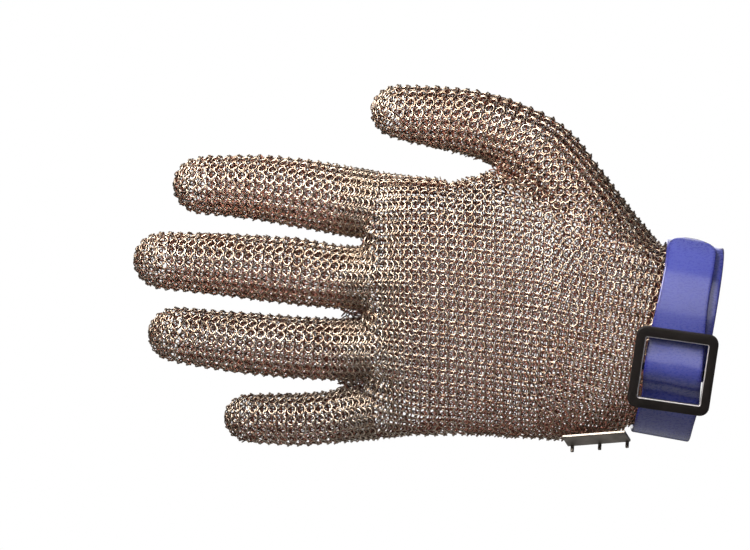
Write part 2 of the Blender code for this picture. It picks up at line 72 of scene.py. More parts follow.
MM = 0.001
BODY = "root"
MAIL_NODES = (
    "mail_back", "mail_palm", "mail_thumb", "mail_index", "mail_middle", "mail_ring_finger",
    "mail_little",
)
WRIST_LEAN = math.radians(10.3)
ALONG_WRIST = Vector((math.cos(WRIST_LEAN), 0.0, -math.sin(WRIST_LEAN)))
UP_WRIST = Vector((math.sin(WRIST_LEAN), 0.0, math.cos(WRIST_LEAN)))
BACKWARD = Vector((0.0, -1.0, 0.0))
SHARP_TURN = math.radians(60.0)

Colour = tuple[float, float, float]
Table = tuple[tuple[float, float], ...]


class Slot(Enum):
    """The record's material slots that the new pieces belong to."""

    MAIL = "steel_mail"
    STRAP = "strap_plastic"
    BUCKLE = "buckle_black"


class Mark(Enum):
    """Attributes that the pieces carry for their materials."""

    # Per ring: a random tone plus a painted shade that dulls the rings towards the wrist and the
    # bottom.
    TONE = "ring_tone"
    # Per point of a ring: a painted shade mask, low on the wire's flanks, on its inner side and on
    # the under-leaning rings.
    SHADE = "ring_shade"
    # Rounded rims: painted shade on the strap, and a painted highlight on the buckle's inner rim.
    RIM = "rim_painted_light"


# ---------------------------------------------------------------- small helpers


def smooth_step(value: float) -> float:
    """Rise from 0 to 1 with level ends."""
    t = min(max(value, 0.0), 1.0)
    return t * t * (3.0 - 2.0 * t)


def look_up(table: Table, value: float) -> float:
    """The second column of a rising table at a value of the first, level past its ends."""
    return float(np.interp(value, [row[0] for row in table], [row[1] for row in table]))


def distances(points: list[Vector]) -> list[float]:
    """Measure a line.

    Args:
        points: The line's points.

    Returns:
        How far each of them is from the first, along the line.
    """
    gone = [0.0]
    for near, far in zip(points, points[1:]):
        gone.append(gone[-1] + (far - near).length)
    return gone


def stretch_at(gone: list[float], distance: float) -> tuple[int, float]:
    """Find where a distance along a line falls.

    Args:
        gone: How far each of the line's points is from the first.
        distance: The distance to find.

    Returns:
        The number of the point after it, and its share of the stretch up to that point.
    """
    i = min(max(int(np.searchsorted(gone, distance)), 1), len(gone) - 1)
    run = gone[i] - gone[i - 1]
    return i, (distance - gone[i - 1]) / run if run else 0.0


def mesh_of(bm: bmesh.types.BMesh, name: str) -> bpy.types.Mesh:
    """Turn a bmesh into a mesh and free it.

    Args:
        bm: The bmesh.
        name: The mesh's name.

    Returns:
        The new mesh.
    """
    mesh = bpy.data.meshes.new(name)
    bm.to_mesh(mesh)
    bm.free()
    return mesh


def link_object(name: str, data: bpy.types.ID) -> bpy.types.Object:
    """Put a new object in the scene.

    Args:
        name: The object's name.
        data: Its mesh, light or camera.

    Returns:
        The new object.
    """
    made = bpy.data.objects.new(name, data)
    bpy.context.scene.collection.objects.link(made)
    return made


def add_piece(
    name: str, mesh: bpy.types.Mesh, finish: bpy.types.Material, slot: Slot, *nodes: str
) -> None:
    """Link a finished piece, dress it, and hide the CAD nodes that it stands for.

    Args:
        name: The piece's name.
        mesh: Its mesh, in its final place.
        finish: Its material.
        slot: The record's slot that the material belongs to; not used.
        nodes: The CAD nodes that it stands for.
    """
    mesh.materials.append(finish)
    mesh.shade_smooth()
    piece = link_object(name, mesh)
    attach(piece, BODY)
    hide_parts(*nodes)
    log.info("%s: %d triangles", name, sum(len(face.vertices) - 2 for face in mesh.polygons))


def sharp_edges(bm: bmesh.types.BMesh) -> list[bmesh.types.BMEdge]:
    """The edges that turn sharply."""
    return [edge for edge in bm.edges if edge.calc_face_angle(0.0) > SHARP_TURN]


def round_off(
    bm: bmesh.types.BMesh, edges: list[bmesh.types.BMEdge], width: float
) -> list[bmesh.types.BMFace]:
    """Round edges off.

    Args:
        bm: Their bmesh.
        edges: The edges.
        width: How far from the edge the rounding starts.

    Returns:
        The rounding's faces.
    """
    return bmesh.ops.bevel(
        bm, geom=edges, offset=width, affect="EDGES", segments=3, profile=0.5, material=-1
    )["faces"]


# ---------------------------------------------------------------- shader effects


class NodeBench:
    """Short ways to add nodes to one tree."""

    def __init__(self, tree: bpy.types.NodeTree) -> None:
        """Work on a tree."""
        self.tree = tree

    def fill(self, node: bpy.types.Node, values: dict) -> None:
        """Give a node's inputs their values.

        Args:
            node: The node.
            values: Numbers, colours and sockets by the name or number of the input.
        """
        for name, value in values.items():
            if isinstance(value, bpy.types.NodeSocket):
                self.tree.links.new(value, node.inputs[name])
            else:
                node.inputs[name].default_value = value

    def add(self, kind: str, values: dict | None = None, **settings: object) -> bpy.types.Node:
        """Add a node.

        Args:
            kind: Blender's type name of the node.
            values: What goes into its inputs, by name or number.
            settings: Properties of the node itself.

        Returns:
            The new node.
        """
        node = self.tree.nodes.new(kind)
        for name, setting in settings.items():
            setattr(node, name, setting)
        self.fill(node, values or {})
        return node

    def effect(self, group: bpy.types.NodeTree, **values: float) -> bpy.types.Node:
        """Place a shared effect, with its own values."""
        return self.add("ShaderNodeGroup", values, node_tree=group)

    def math(self, operation: str, *values: object) -> bpy.types.NodeSocket:
        """The result of a Math node on numbers or sockets."""
        node = self.add("ShaderNodeMath", dict(enumerate(values)), operation=operation)
        return node.outputs[0]

    def blend(self, share: object, first: object, second: object) -> bpy.types.NodeSocket:
        """Mix two colours.

        Args:
            share: How much of the second one, a number or a socket.
            first: A colour or a socket.
            second: A colour or a socket.

        Returns:
            The mixed colour.
        """
        node = self.add("ShaderNodeMix", data_type="RGBA")
        values = {"Factor_Float": share, "A_Color": first, "B_Color": second}
        for i, socket in enumerate(node.inputs):
            if socket.identifier in values:
                value = values[socket.identifier]
                self.fill(node, {i: (*value, 1.0) if isinstance(value, tuple) else value})
        return next(socket for socket in node.outputs if socket.identifier == "Result_Color")

    def between(self, value: object, low: float, high: float) -> bpy.types.NodeSocket:
        """A 0 to 1 value put between two others."""
        node = self.add("ShaderNodeMapRange", {"Value": value, "To Min": low, "To Max": high})
        return node.outputs["Result"]

    def ramp(self, value: object, zero: object, one: object) -> bpy.types.NodeSocket:
        """0 at one value, 1 at another, even between them and level past them."""
        values = {"Value": value, "From Min": zero, "From Max": one}
        return self.add("ShaderNodeMapRange", values).outputs["Result"]

    def attribute(self, mark: Mark) -> bpy.types.NodeSocket:
        """The value of one of the piece's own attributes."""
        return self.add("ShaderNodeAttribute", attribute_name=mark.value).outputs["Fac"]

    def bump(self, grain: bpy.types.Node, strength: float, depth: float) -> bpy.types.NodeSocket:
        """The normal that the grain's height gives, at a depth in metres."""
        values = {"Strength": strength, "Distance": depth, "Height": grain.outputs["Height"]}
        return self.add("ShaderNodeBump", values).outputs["Normal"]


class Effects:
    """Node groups that more than one finish uses, each built once."""

    scratch_stretch: tuple[float, float, float] = (0.05, 0.4, 1.0)
    scratch_levels: tuple[float, float] = (0.64, 0.72)

    def start(
        self, name: str, inputs: dict[str, float], *outputs: str
    ) -> tuple[NodeBench, bpy.types.Node, bpy.types.NodeSocket]:
        """Start a node group.

        Args:
            name: Its name.
            inputs: Its number inputs and their defaults.
            outputs: Its number outputs.

        Returns:
            A bench on the new group, its inlet, and the place on the piece.
        """
        tree = bpy.data.node_groups.new(name, "ShaderNodeTree")
        for socket, default in inputs.items():
            made = tree.interface.new_socket(socket, in_out="INPUT", socket_type="NodeSocketFloat")
            made.default_value = default
        for socket in outputs:
            tree.interface.new_socket(socket, in_out="OUTPUT", socket_type="NodeSocketFloat")
        bench = NodeBench(tree)
        inlet = bench.add("NodeGroupInput")
        return bench, inlet, bench.add("ShaderNodeTexCoord").outputs["Object"]

    @cached_property
    def grain(self) -> bpy.types.NodeTree:
        """Fine unevenness: a value about a half, and a height for a bump.

        Returns:
            The node group.
        """
        bench, inlet, place = self.start(
            "grain", {"Scale": 1000.0, "Stretch": 1.0}, "Value", "Height"
        )
        stretch = bench.add("ShaderNodeCombineXYZ", {"X": 1.0, "Y": 1.0, "Z": inlet.outputs[1]})
        moved = bench.add(
            "ShaderNodeVectorMath", {0: place, 1: stretch.outputs[0]}, operation="MULTIPLY"
        )
        values = {"Vector": moved.outputs[0], "Scale": inlet.outputs[0]}
        noise = bench.add("ShaderNodeTexNoise", {**values, "Detail": 3.0, "Roughness": 0.6})
        level = noise.outputs["Fac"]
        bench.add("NodeGroupOutput", {"Value": level, "Height": level})
        return bench.tree

    @cached_property
    def patches(self) -> bpy.types.NodeTree:
        """Broad soft patches with a chosen cover, from 0 to 1.

        Returns:
            The node group.
        """
        inputs = {"Scale": 60.0, "Cover": 0.5, "Softness": 0.2}
        bench, inlet, place = self.start("patches", inputs, "Mask")
        values = {"Vector": place, "Scale": inlet.outputs["Scale"], "Detail": 4.0}
        noise = bench.add("ShaderNodeTexNoise", values)
        level = bench.math("SUBTRACT", 1.0, inlet.outputs["Cover"])
        low = bench.math("SUBTRACT", level, inlet.outputs["Softness"])
        high = bench.math("ADD", level, inlet.outputs["Softness"])
        bench.add("NodeGroupOutput", {"Mask": bench.ramp(noise.outputs["Fac"], low, high)})
        return bench.tree

    @cached_property
    def scratches(self) -> bpy.types.NodeTree:
        """Sparse fine scratches, 1 on a scratch and 0 off it.

        Returns:
            The node group.
        """
        bench, inlet, place = self.start("scratches", {"Scale": 300.0, "Slant": 0.0}, "Mask")
        turned = bench.add(
            "ShaderNodeVectorRotate", {"Vector": place, "Angle": inlet.outputs["Slant"]},
            rotation_type="Y_AXIS",
        )
        thin = bench.add(
            "ShaderNodeVectorMath", {0: turned.outputs[0], 1: self.scratch_stretch},
            operation="MULTIPLY",
        )
        values = {"Vector": thin.outputs[0], "Scale": inlet.outputs["Scale"], "Detail": 2.0}
        noise = bench.add("ShaderNodeTexNoise", values)
        mask = bench.ramp(noise.outputs["Fac"], *self.scratch_levels)
        bench.add("NodeGroupOutput", {"Mask": mask})
        return bench.tree


EFFECTS = Effects()


@dataclass(frozen=True)
class Finish:
    """What every finish has: a name and a Principled shader."""

    name: str

    def build(self) -> bpy.types.Material:
        """Make the material.

        Returns:
            The material.
        """
        made = bpy.data.materials.new(self.name)
        made.use_nodes = True
        bench = NodeBench(made.node_tree)
        bench.fill(made.node_tree.nodes["Principled BSDF"], self.surface(bench))
        return made

    def surface(self, bench: NodeBench) -> dict[str, object]:
        """What each finish has of its own.

        Args:
            bench: A bench on the material's tree.

        Returns:
            What goes into the shader, by the names of its inputs.
        """
        raise NotImplementedError


@dataclass(frozen=True)
class WireFinish(Finish):
    """Bright drawn steel wire, with painted shade: black along its flanks and dark brown on its
    inner side.
    """

    bright: Colour = (0.92, 0.78, 0.63)
    dull: Colour = (0.42, 0.295, 0.20)
    # Painted shade: the flank colour darkens the sides of each wire, and the inner colour paints
    # its inner side a shaded dark brown.
    flank_shade: Colour = (0.046, 0.038, 0.030)
    inner: Colour = (0.31, 0.122, 0.080)
    # Where the painted shade on the flanks and on the inner side starts and is full, in values of
    # the rings' shade mask.
    flank_shade_heights: tuple[float, float] = (0.50, 0.08)
    inner_shade_heights: tuple[float, float] = (-0.10, -0.45)
    roughness: tuple[float, float] = (0.28, 0.50)
    grain_scale: float = 1600.0
    patch_scale: float = 55.0
    patch_softness: float = 0.25
    patch_share: float = 0.35
    tone_share: float = 0.65
    unevenness: float = 0.16
    bump_strength: float = 0.35
    bump_depth: float = 0.03 * MM

    def surface(self, bench: NodeBench) -> dict[str, object]:
        """Steel that is metal on top of each wire, with painted shade: black on its flanks, and
        dark brown and less metallic on its inner side.

        Args:
            bench: A bench on the material's tree.

        Returns:
            What goes into the shader, by the names of its inputs.
        """
        tone, height = bench.attribute(Mark.TONE), bench.attribute(Mark.SHADE)
        grain = bench.effect(EFFECTS.grain, Scale=self.grain_scale)
        patches = bench.effect(
            EFFECTS.patches, Scale=self.patch_scale, Softness=self.patch_softness
        )
        level = grain.outputs["Value"]
        # How dull the steel is: random patches, and the ring's tone, which holds painted shade
        # towards the wrist and the bottom.
        dulling = bench.math("MULTIPLY", patches.outputs["Mask"], self.patch_share)
        dulling = bench.math("MULTIPLY_ADD", tone, self.tone_share, dulling)
        uneven = bench.math("MULTIPLY_ADD", level, self.unevenness, -self.unevenness / 2)
        height = bench.math("ADD", height, uneven)
        # Painted shade: the flanks go black, and the inner side dark brown and less metallic.
        flank_shade = bench.ramp(height, *self.flank_shade_heights)
        inner = bench.ramp(height, *self.inner_shade_heights)
        sided = bench.blend(flank_shade, bench.blend(dulling, self.bright, self.dull), self.flank_shade)
        rough = bench.math("MULTIPLY", bench.math("ADD", tone, level), 0.5)
        return {
            "Base Color": bench.blend(inner, sided, self.inner),
            "Roughness": bench.between(rough, *self.roughness),
            "Metallic": bench.math("SUBTRACT", 1.0, inner),
            "Normal": bench.bump(grain, self.bump_strength, self.bump_depth),
        }


@dataclass(frozen=True)
class StrapFinish(Finish):
    """Smooth glossy plastic with a faint orange peel and rubbed streaks."""

    face: Colour = (0.062, 0.074, 0.32)
    deep: Colour = (0.014, 0.016, 0.16)
    rubbed: Colour = (0.09, 0.115, 0.44)
    roughness: tuple[float, float] = (0.20, 0.36)
    grain_scale: float = 900.0
    grain_stretch: float = 2.2
    patch_scale: float = 90.0
    patch_softness: float = 0.3
    scratch_scale: float = 700.0
    patch_share: float = 0.35
    rim_share: float = 0.7
    scratch_share: float = 0.25
    ior: float = 1.5
    specular: float = 0.45
    coat: float = 0.50
    coat_roughness: float = 0.11
    bump_strength: float = 0.25
    bump_depth: float = 0.05 * MM

    def surface(self, bench: NodeBench) -> dict[str, object]:
        """Plastic that is deeper in patches, with painted shade at its rims, and paler where it is
        rubbed.

        Args:
            bench: A bench on the material's tree.

        Returns:
            What goes into the shader, by the names of its inputs.
        """
        grain = bench.effect(EFFECTS.grain, Scale=self.grain_scale, Stretch=self.grain_stretch)
        patches = bench.effect(
            EFFECTS.patches, Scale=self.patch_scale, Softness=self.patch_softness
        )
        scratches = bench.effect(EFFECTS.scratches, Scale=self.scratch_scale, Slant=WRIST_LEAN)
        level = grain.outputs["Value"]
        cloud = bench.math("MULTIPLY", patches.outputs["Mask"], self.patch_share)
        # Painted shade: the rounded rims go towards the deep colour.
        rim = bench.math("MULTIPLY", bench.attribute(Mark.RIM), self.rim_share)
        rub = bench.math("MULTIPLY", scratches.outputs["Mask"], self.scratch_share)
        edged = bench.blend(rim, bench.blend(cloud, self.face, self.deep), self.deep)
        return {
            "Base Color": bench.blend(bench.math("MULTIPLY", rub, level), edged, self.rubbed),
            "Roughness": bench.between(level, *self.roughness),
            "IOR": self.ior,
            "Specular IOR Level": self.specular,
            "Coat Weight": self.coat,
            "Coat Roughness": self.coat_roughness,
            "Normal": bench.bump(grain, self.bump_strength, self.bump_depth),
        }


@dataclass(frozen=True)
class CoatFinish(Finish):
    """Dark coated metal, with a painted highlight of bright metal colour along its inner rim."""

    coat: Colour = (0.010, 0.008, 0.007)
    dusty: Colour = (0.022, 0.018, 0.018)
    # Painted highlight: the bright metal colour of the rim.
    rim_glint: Colour = (0.80, 0.76, 0.78)
    roughness: tuple[float, float] = (0.35, 0.60)
    grain_scale: float = 1300.0
    patch_scale: float = 110.0
    glint_breakup: tuple[float, float] = (0.9, 0.35)
    glint_metallic: float = 0.6
    specular: float = 0.18
    bump_strength: float = 0.3
    bump_depth: float = 0.04 * MM

    def surface(self, bench: NodeBench) -> dict[str, object]:
        """A coat with dusty patches, and a painted highlight of bright metal along its rim, broken
        up by the grain.

        Args:
            bench: A bench on the material's tree.

        Returns:
            What goes into the shader, by the names of its inputs.
        """
        grain = bench.effect(EFFECTS.grain, Scale=self.grain_scale)
        patches = bench.effect(EFFECTS.patches, Scale=self.patch_scale)
        level = grain.outputs["Value"]
        # Painted highlight along the marked rim, broken up by the grain.
        broken_glint = bench.math("MINIMUM", bench.math("MULTIPLY_ADD", level, *self.glint_breakup), 1.0)
        rim_glint = bench.math("MULTIPLY", bench.attribute(Mark.RIM), broken_glint)
        dust = bench.math("MULTIPLY", patches.outputs["Mask"], level)
        return {
            "Base Color": bench.blend(rim_glint, bench.blend(dust, self.coat, self.dusty), self.rim_glint),
            "Metallic": bench.math("MULTIPLY", rim_glint, self.glint_metallic),
            "Roughness": bench.between(level, *self.roughness),
            "Specular IOR Level": self.specular,
            "Normal": bench.bump(grain, self.bump_strength, self.bump_depth),
        }


@dataclass(frozen=True)
class PlateFinish(Finish):
    """Satin grey steel with brushed lines and darker stains."""

    steel: Colour = (0.23, 0.205, 0.180)
    stained: Colour = (0.06, 0.050, 0.043)
    roughness: tuple[float, float] = (0.28, 0.5)
    grain_scale: float = 1500.0
    grain_stretch: float = 3.0
    patch_scale: float = 180.0
    patch_cover: float = 0.45
    scratch_scale: float = 1200.0
    stain_share: float = 0.7
    scratch_share: float = 0.4
    bump_strength: float = 0.3
    bump_depth: float = 0.04 * MM

    def surface(self, bench: NodeBench) -> dict[str, object]:
        """Steel with stained patches and rougher scratches.

        Args:
            bench: A bench on the material's tree.

        Returns:
            What goes into the shader, by the names of its inputs.
        """
        grain = bench.effect(EFFECTS.grain, Scale=self.grain_scale, Stretch=self.grain_stretch)
        patches = bench.effect(EFFECTS.patches, Scale=self.patch_scale, Cover=self.patch_cover)
        scratches = bench.effect(EFFECTS.scratches, Scale=self.scratch_scale)
        stain = bench.math("MULTIPLY", patches.outputs["Mask"], self.stain_share)
        lines = bench.math("MULTIPLY", scratches.outputs["Mask"], self.scratch_share)
        rough = bench.math("ADD", lines, grain.outputs["Value"])
        return {
            "Base Color": bench.blend(stain, self.steel, self.stained),
            "Roughness": bench.between(rough, *self.roughness),
            "Metallic": 1.0,
            "Normal": bench.bump(grain, self.bump_strength, self.bump_depth),
        }


@dataclass(frozen=True)
class FloorFinish(Finish):
    """A plain pale studio floor."""

    pale: Colour = (0.86, 0.86, 0.86)
    paler: Colour = (0.92, 0.92, 0.92)
    patch_scale: float = 3.0
    roughness: float = 0.7
    glow: float = 0.80

    def surface(self, bench: NodeBench) -> dict[str, object]:
        """A floor that looks lit from all over and lights nothing.

        Args:
            bench: A bench on the material's tree.

        Returns:
            What goes into the shader, by the names of its inputs.
        """
        patches = bench.effect(EFFECTS.patches, Scale=self.patch_scale)
        colour = bench.blend(patches.outputs["Mask"], self.pale, self.paler)
        seen = bench.add("ShaderNodeLightPath").outputs["Is Camera Ray"]
        return {
            "Base Color": colour,
            "Roughness": self.roughness,
            "Emission Color": colour,
            "Emission Strength": bench.between(seen, 0.0, self.glow),
        }


# ---------------------------------------------------------------- the mail's form


@dataclass
class MailForm:
    """The smooth wall that the rings lie in, melted from the CAD nodes of the mail."""

    doubles: float = 0.01 * MM
    voxel: float = 0.9 * MM
    smoothing: int = 10
    smoothing_share: float = 0.5
    thickest: float = 14.0 * MM
    skin: float = 0.25 * MM
    half_wall: float = 0.9 * MM
    tree: BVHTree | None = None
    spots: list[tuple[Vector, Vector]] = field(default_factory=list)

    def build(self) -> None:
        """Melt the nodes into one skin, and keep it for finding places in it."""
        joined = bmesh.new()
        for name in MAIL_NODES:
            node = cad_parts[name]
            copy = node.data.copy()
            copy.transform(node.matrix_world)
            joined.from_mesh(copy)
            bpy.data.meshes.remove(copy)
        bmesh.ops.remove_doubles(joined, verts=joined.verts, dist=self.doubles)
        holder = link_object("mail_form", mesh_of(joined, "mail_form"))
        melt = holder.modifiers.new("melt", "REMESH")
        melt.mode = "VOXEL"
        melt.voxel_size = self.voxel
        even = holder.modifiers.new("even", "SMOOTH")
        even.factor = self.smoothing_share
        even.iterations = self.smoothing
        graph = bpy.context.evaluated_depsgraph_get()
        self.tree = BVHTree.FromObject(holder, graph)
        for vert in holder.evaluated_get(graph).data.vertices:
            self.spots.append((vert.co - vert.normal * self.half_wall, vert.normal.copy()))
        bpy.data.objects.remove(holder, do_unlink=True)

    def wall(
        self, origin: Vector, heading: Vector, reach: float
    ) -> tuple[Vector, Vector] | None:
        """Find the wall from inside.

        Args:
            origin: A point in the hollow.
            heading: The way to look, of length 1.
            reach: The furthest that the wall may be.

        Returns:
            The middle of the wall and its outward normal, or None where there is none.
        """
        inner = self.tree.ray_cast(origin, heading, reach)[0]
        if inner is None:
            return None
        start = inner + heading * self.skin
        outer, out, _, _ = self.tree.ray_cast(start, heading, self.thickest)
        if outer is None or out.dot(heading) < 0.0:
            return None
        return (inner + outer) / 2, out


# ---------------------------------------------------------------- the weave


@dataclass
class Ring:
    """One ring's place: its middle, the mail's outward normal, the row's way and its lean."""

    place: Vector
    out: Vector
    row: Vector
    lean: float


@dataclass
class Station:
    """Where one course of rings goes round: looks out from a point of the middle line."""

    origin: Vector
    ahead: Vector
    start: Vector
    rise: float = math.pi / 2
    broad: float = 1.0
    shift: float = 0.0

    def heading(self, angle: float) -> tuple[Vector, Vector]:
        """Look out at an angle from the start.

        Args:
            angle: The angle round the middle line.

        Returns:
            The way to look and the way that the row runs there, both of length 1.
        """
        side = self.ahead.cross(self.start)
        level = (self.start * math.cos(angle) + side * math.sin(angle) * self.broad).normalized()
        heading = level * math.sin(self.rise) - self.ahead * math.cos(self.rise)
        row = level * math.cos(self.rise) + self.ahead * math.sin(self.rise)
        return heading, row


@dataclass
class Arm:
    """The wall points met going one way round from a station's start."""

    gone: list[float]
    places: list[Vector]
    outs: list[Vector]
    rows: list[Vector]
    whole: bool

    def at(self, distance: float) -> tuple[Vector, Vector, Vector]:
        """Find the wall along this way.

        Args:
            distance: How far to go.

        Returns:
            The middle of the wall there, its normal and the row's way.
        """
        i, share = stretch_at(self.gone, distance)
        return (
            self.places[i - 1].lerp(self.places[i], share),
            self.outs[i - 1].lerp(self.outs[i], share).normalized(),
            self.rows[i - 1].lerp(self.rows[i], share),
        )


@dataclass
class Weave:
    """Lays rings in the wall, and keeps new ones off those already laid."""

    form: MailForm
    seed: int = 7
    looks: int = 240
    most_misses: int = 5
    leap: float = 7.0 * MM
    overrun: float = 0.3
    apart: float = 1.45 * MM
    widest_gaps: Table = ((-0.2, 1.98 * MM), (0.5, 1.55 * MM))
    mended_apart: float = 1.9 * MM
    face_leans: Table = ((1.3, 28.0), (1.6, 20.0), (2.2, 14.0))
    under_leans: Table = ((1.3, 56.0), (1.6, 50.0), (2.1, 46.0), (2.6, 42.0))
    under_sink: float = 0.30 * MM
    stray_turn: float = math.radians(2.2)
    stray_place: float = 0.05 * MM
    laid: list[Ring] = field(default_factory=list)
    settled: KDTree | None = None

    def __post_init__(self) -> None:
        """Start the seeded strays."""
        self.chance = np.random.default_rng(self.seed)

    def settle(self) -> None:
        """Take the rings laid so far as fixed."""
        self.settled = KDTree(len(self.laid))
        for i, ring in enumerate(self.laid):
            self.settled.insert(ring.place, i)
        self.settled.balance()

    def mend(self) -> list[tuple[int, Ring]]:
        """Lay a ring in each place of the wall that no ring is near.

        Returns:
            Each new ring after the number of the laid ring nearest to it.
        """
        self.settle()
        gaps = []
        for place, normal in self.form.spots:
            _, nearest, distance = self.settled.find(place)
            excess = distance - look_up(self.widest_gaps, self.laid[nearest].out.y)
            if excess > 0.0:
                gaps.append((excess, place, normal, nearest))
        gaps.sort(key=lambda gap: -gap[0])
        mended: list[tuple[int, Ring]] = []
        for _, place, normal, nearest in gaps:
            if all((ring.place - place).length > self.mended_apart for _, ring in mended):
                near = self.laid[nearest]
                out = normal if normal.dot(near.out) > 0.0 else -normal
                row = (near.row - out * near.row.dot(out)).normalized()
                mended.append((nearest, Ring(place, out, row, near.lean)))
        return mended

    def arm(
        self, station: Station, way: int, reach: float, keep: Callable[[Vector, Vector], bool]
    ) -> Arm:
        """Go round from the station's start until the wall ends.

        Args:
            station: Where to look out from.
            way: 1 or -1, the way to go round.
            reach: The furthest that the wall may be.
            keep: Says whether a place with a normal belongs to this run.

        Returns:
            What was met.
        """
        found = Arm([], [], [], [], True)
        half, misses = self.looks // 2, 0
        for i in range(half + 1):
            heading, row = station.heading(way * math.pi * i / half)
            met = self.form.wall(station.origin, heading, reach)
            if met is None and found.places and misses < self.most_misses:
                misses += 1
                continue
            misses = 0
            if met is None or not keep(*met):
                found.whole = False
                break
            step = (met[0] - found.places[-1]).length if found.places else 0.0
            if step > self.leap:
                found.whole = False
                break
            found.gone.append((found.gone[-1] if found.gone else 0.0) + step)
            found.places.append(met[0])
            found.outs.append(met[1])
            found.rows.append(row)
        return found

    def lean(self, odd: bool, pitch: float) -> float:
        """Choose a course's lean.

        Args:
            odd: True for every other course, which leans the other way.
            pitch: The distance between rings along a row.

        Returns:
            The lean, above 0 where the ring is outward at its wrist end.
        """
        if odd:
            return -math.radians(look_up(self.under_leans, pitch / MM))
        return math.radians(look_up(self.face_leans, pitch / MM))

    def lay(self, spot: tuple[Vector, Vector, Vector], lean: float) -> None:
        """Lay one ring unless it would crowd a settled one.

        Args:
            spot: The middle of the wall, its normal, and the row's way.
            lean: The ring's lean.
        """
        place, out, row = spot
        _, nearest, distance = self.settled.find(place)
        if nearest is not None and distance < self.apart:
            return
        row = (row - out * row.dot(out)).normalized()
        stray = self.chance.normal(size=6)
        if lean < 0.0:
            place = place - out * self.under_sink
        out = (out + row.cross(out) * stray[0] * self.stray_turn).normalized()
        row = (row + row.cross(out) * stray[1] * self.stray_turn).normalized()
        place = place + Vector(stray[2:5]) * self.stray_place
        self.laid.append(Ring(place, out, row, lean + stray[5] * self.stray_turn))

    def course(
        self,
        station: Station,
        odd: bool,
        pitch: float,
        spacing: float,
        around: int,
        reach: float,
        keep: Callable[[Vector, Vector], bool],
    ) -> None:
        """Lay one course of rings.

        Args:
            station: Where to look out from.
            odd: True for every other course, which is set over by half a spacing.
            pitch: The distance between rings along a row.
            spacing: The distance between rings along the course, where it is open.
            around: How many rings go round, where it is closed; 0 if it is never taken so.
            reach: The furthest that the wall may be.
            keep: Says whether a place with a normal belongs to this run.
        """
        plus, minus = (self.arm(station, way, reach, keep) for way in (1, -1))
        lean = self.lean(odd, pitch)
        shift = station.shift + (0.5 if odd else 0.0)
        if plus.whole and minus.whole and around:
            length = plus.gone[-1] + minus.gone[-1]
            for k in range(around):
                distance = (k + shift) * length / around
                if distance <= plus.gone[-1]:
                    self.lay(plus.at(distance), lean)
                else:
                    self.lay(minus.at(length - distance), lean)
            return
        for arm, first in ((plus, shift), (minus, 1.0 - shift)):
            distance = first * spacing
            while len(arm.gone) > 1 and distance <= arm.gone[-1] + self.overrun * spacing:
                self.lay(arm.at(distance), lean)
                distance += spacing


@dataclass
class Spine:
    """The middle line of a finger, from the middle of its round tip to its root."""

    points: tuple[tuple[float, float, float], ...]

    def __post_init__(self) -> None:
        """Measure the line."""
        self.stops = [Vector(point) * MM for point in self.points]
        self.gone = distances(self.stops)
        last = len(self.stops) - 1
        self.ways = [
            (self.stops[min(i + 1, last)] - self.stops[max(i - 1, 0)]).normalized()
            for i in range(last + 1)
        ]

    def at(self, distance: float) -> tuple[Vector, Vector]:
        """Find a point of the line.

        Args:
            distance: How far from the tip it is.

        Returns:
            The point and the line's way there.
        """
        i, share = stretch_at(self.gone, distance)
        way = self.ways[i - 1].lerp(self.ways[i], min(share, 1.0)).normalized()
        return self.stops[i - 1].lerp(self.stops[i], share), way


# The line that parts the thumb's mail from the hand's, web to wrist, as x and z in millimetres
THUMB_SEAM: Table = (
    (-130.0, 69.0), (-80.0, 61.2), (-68.4, 60.2), (-61.0, 54.0), (-45.0, 47.0), (-30.0, 40.5),
    (-14.0, 31.0), (4.0, 21.0),
)


def above_seam(place: Vector) -> bool:
    """True on the thumb's side of the seam."""
    return place.z / MM > look_up(THUMB_SEAM, place.x / MM)


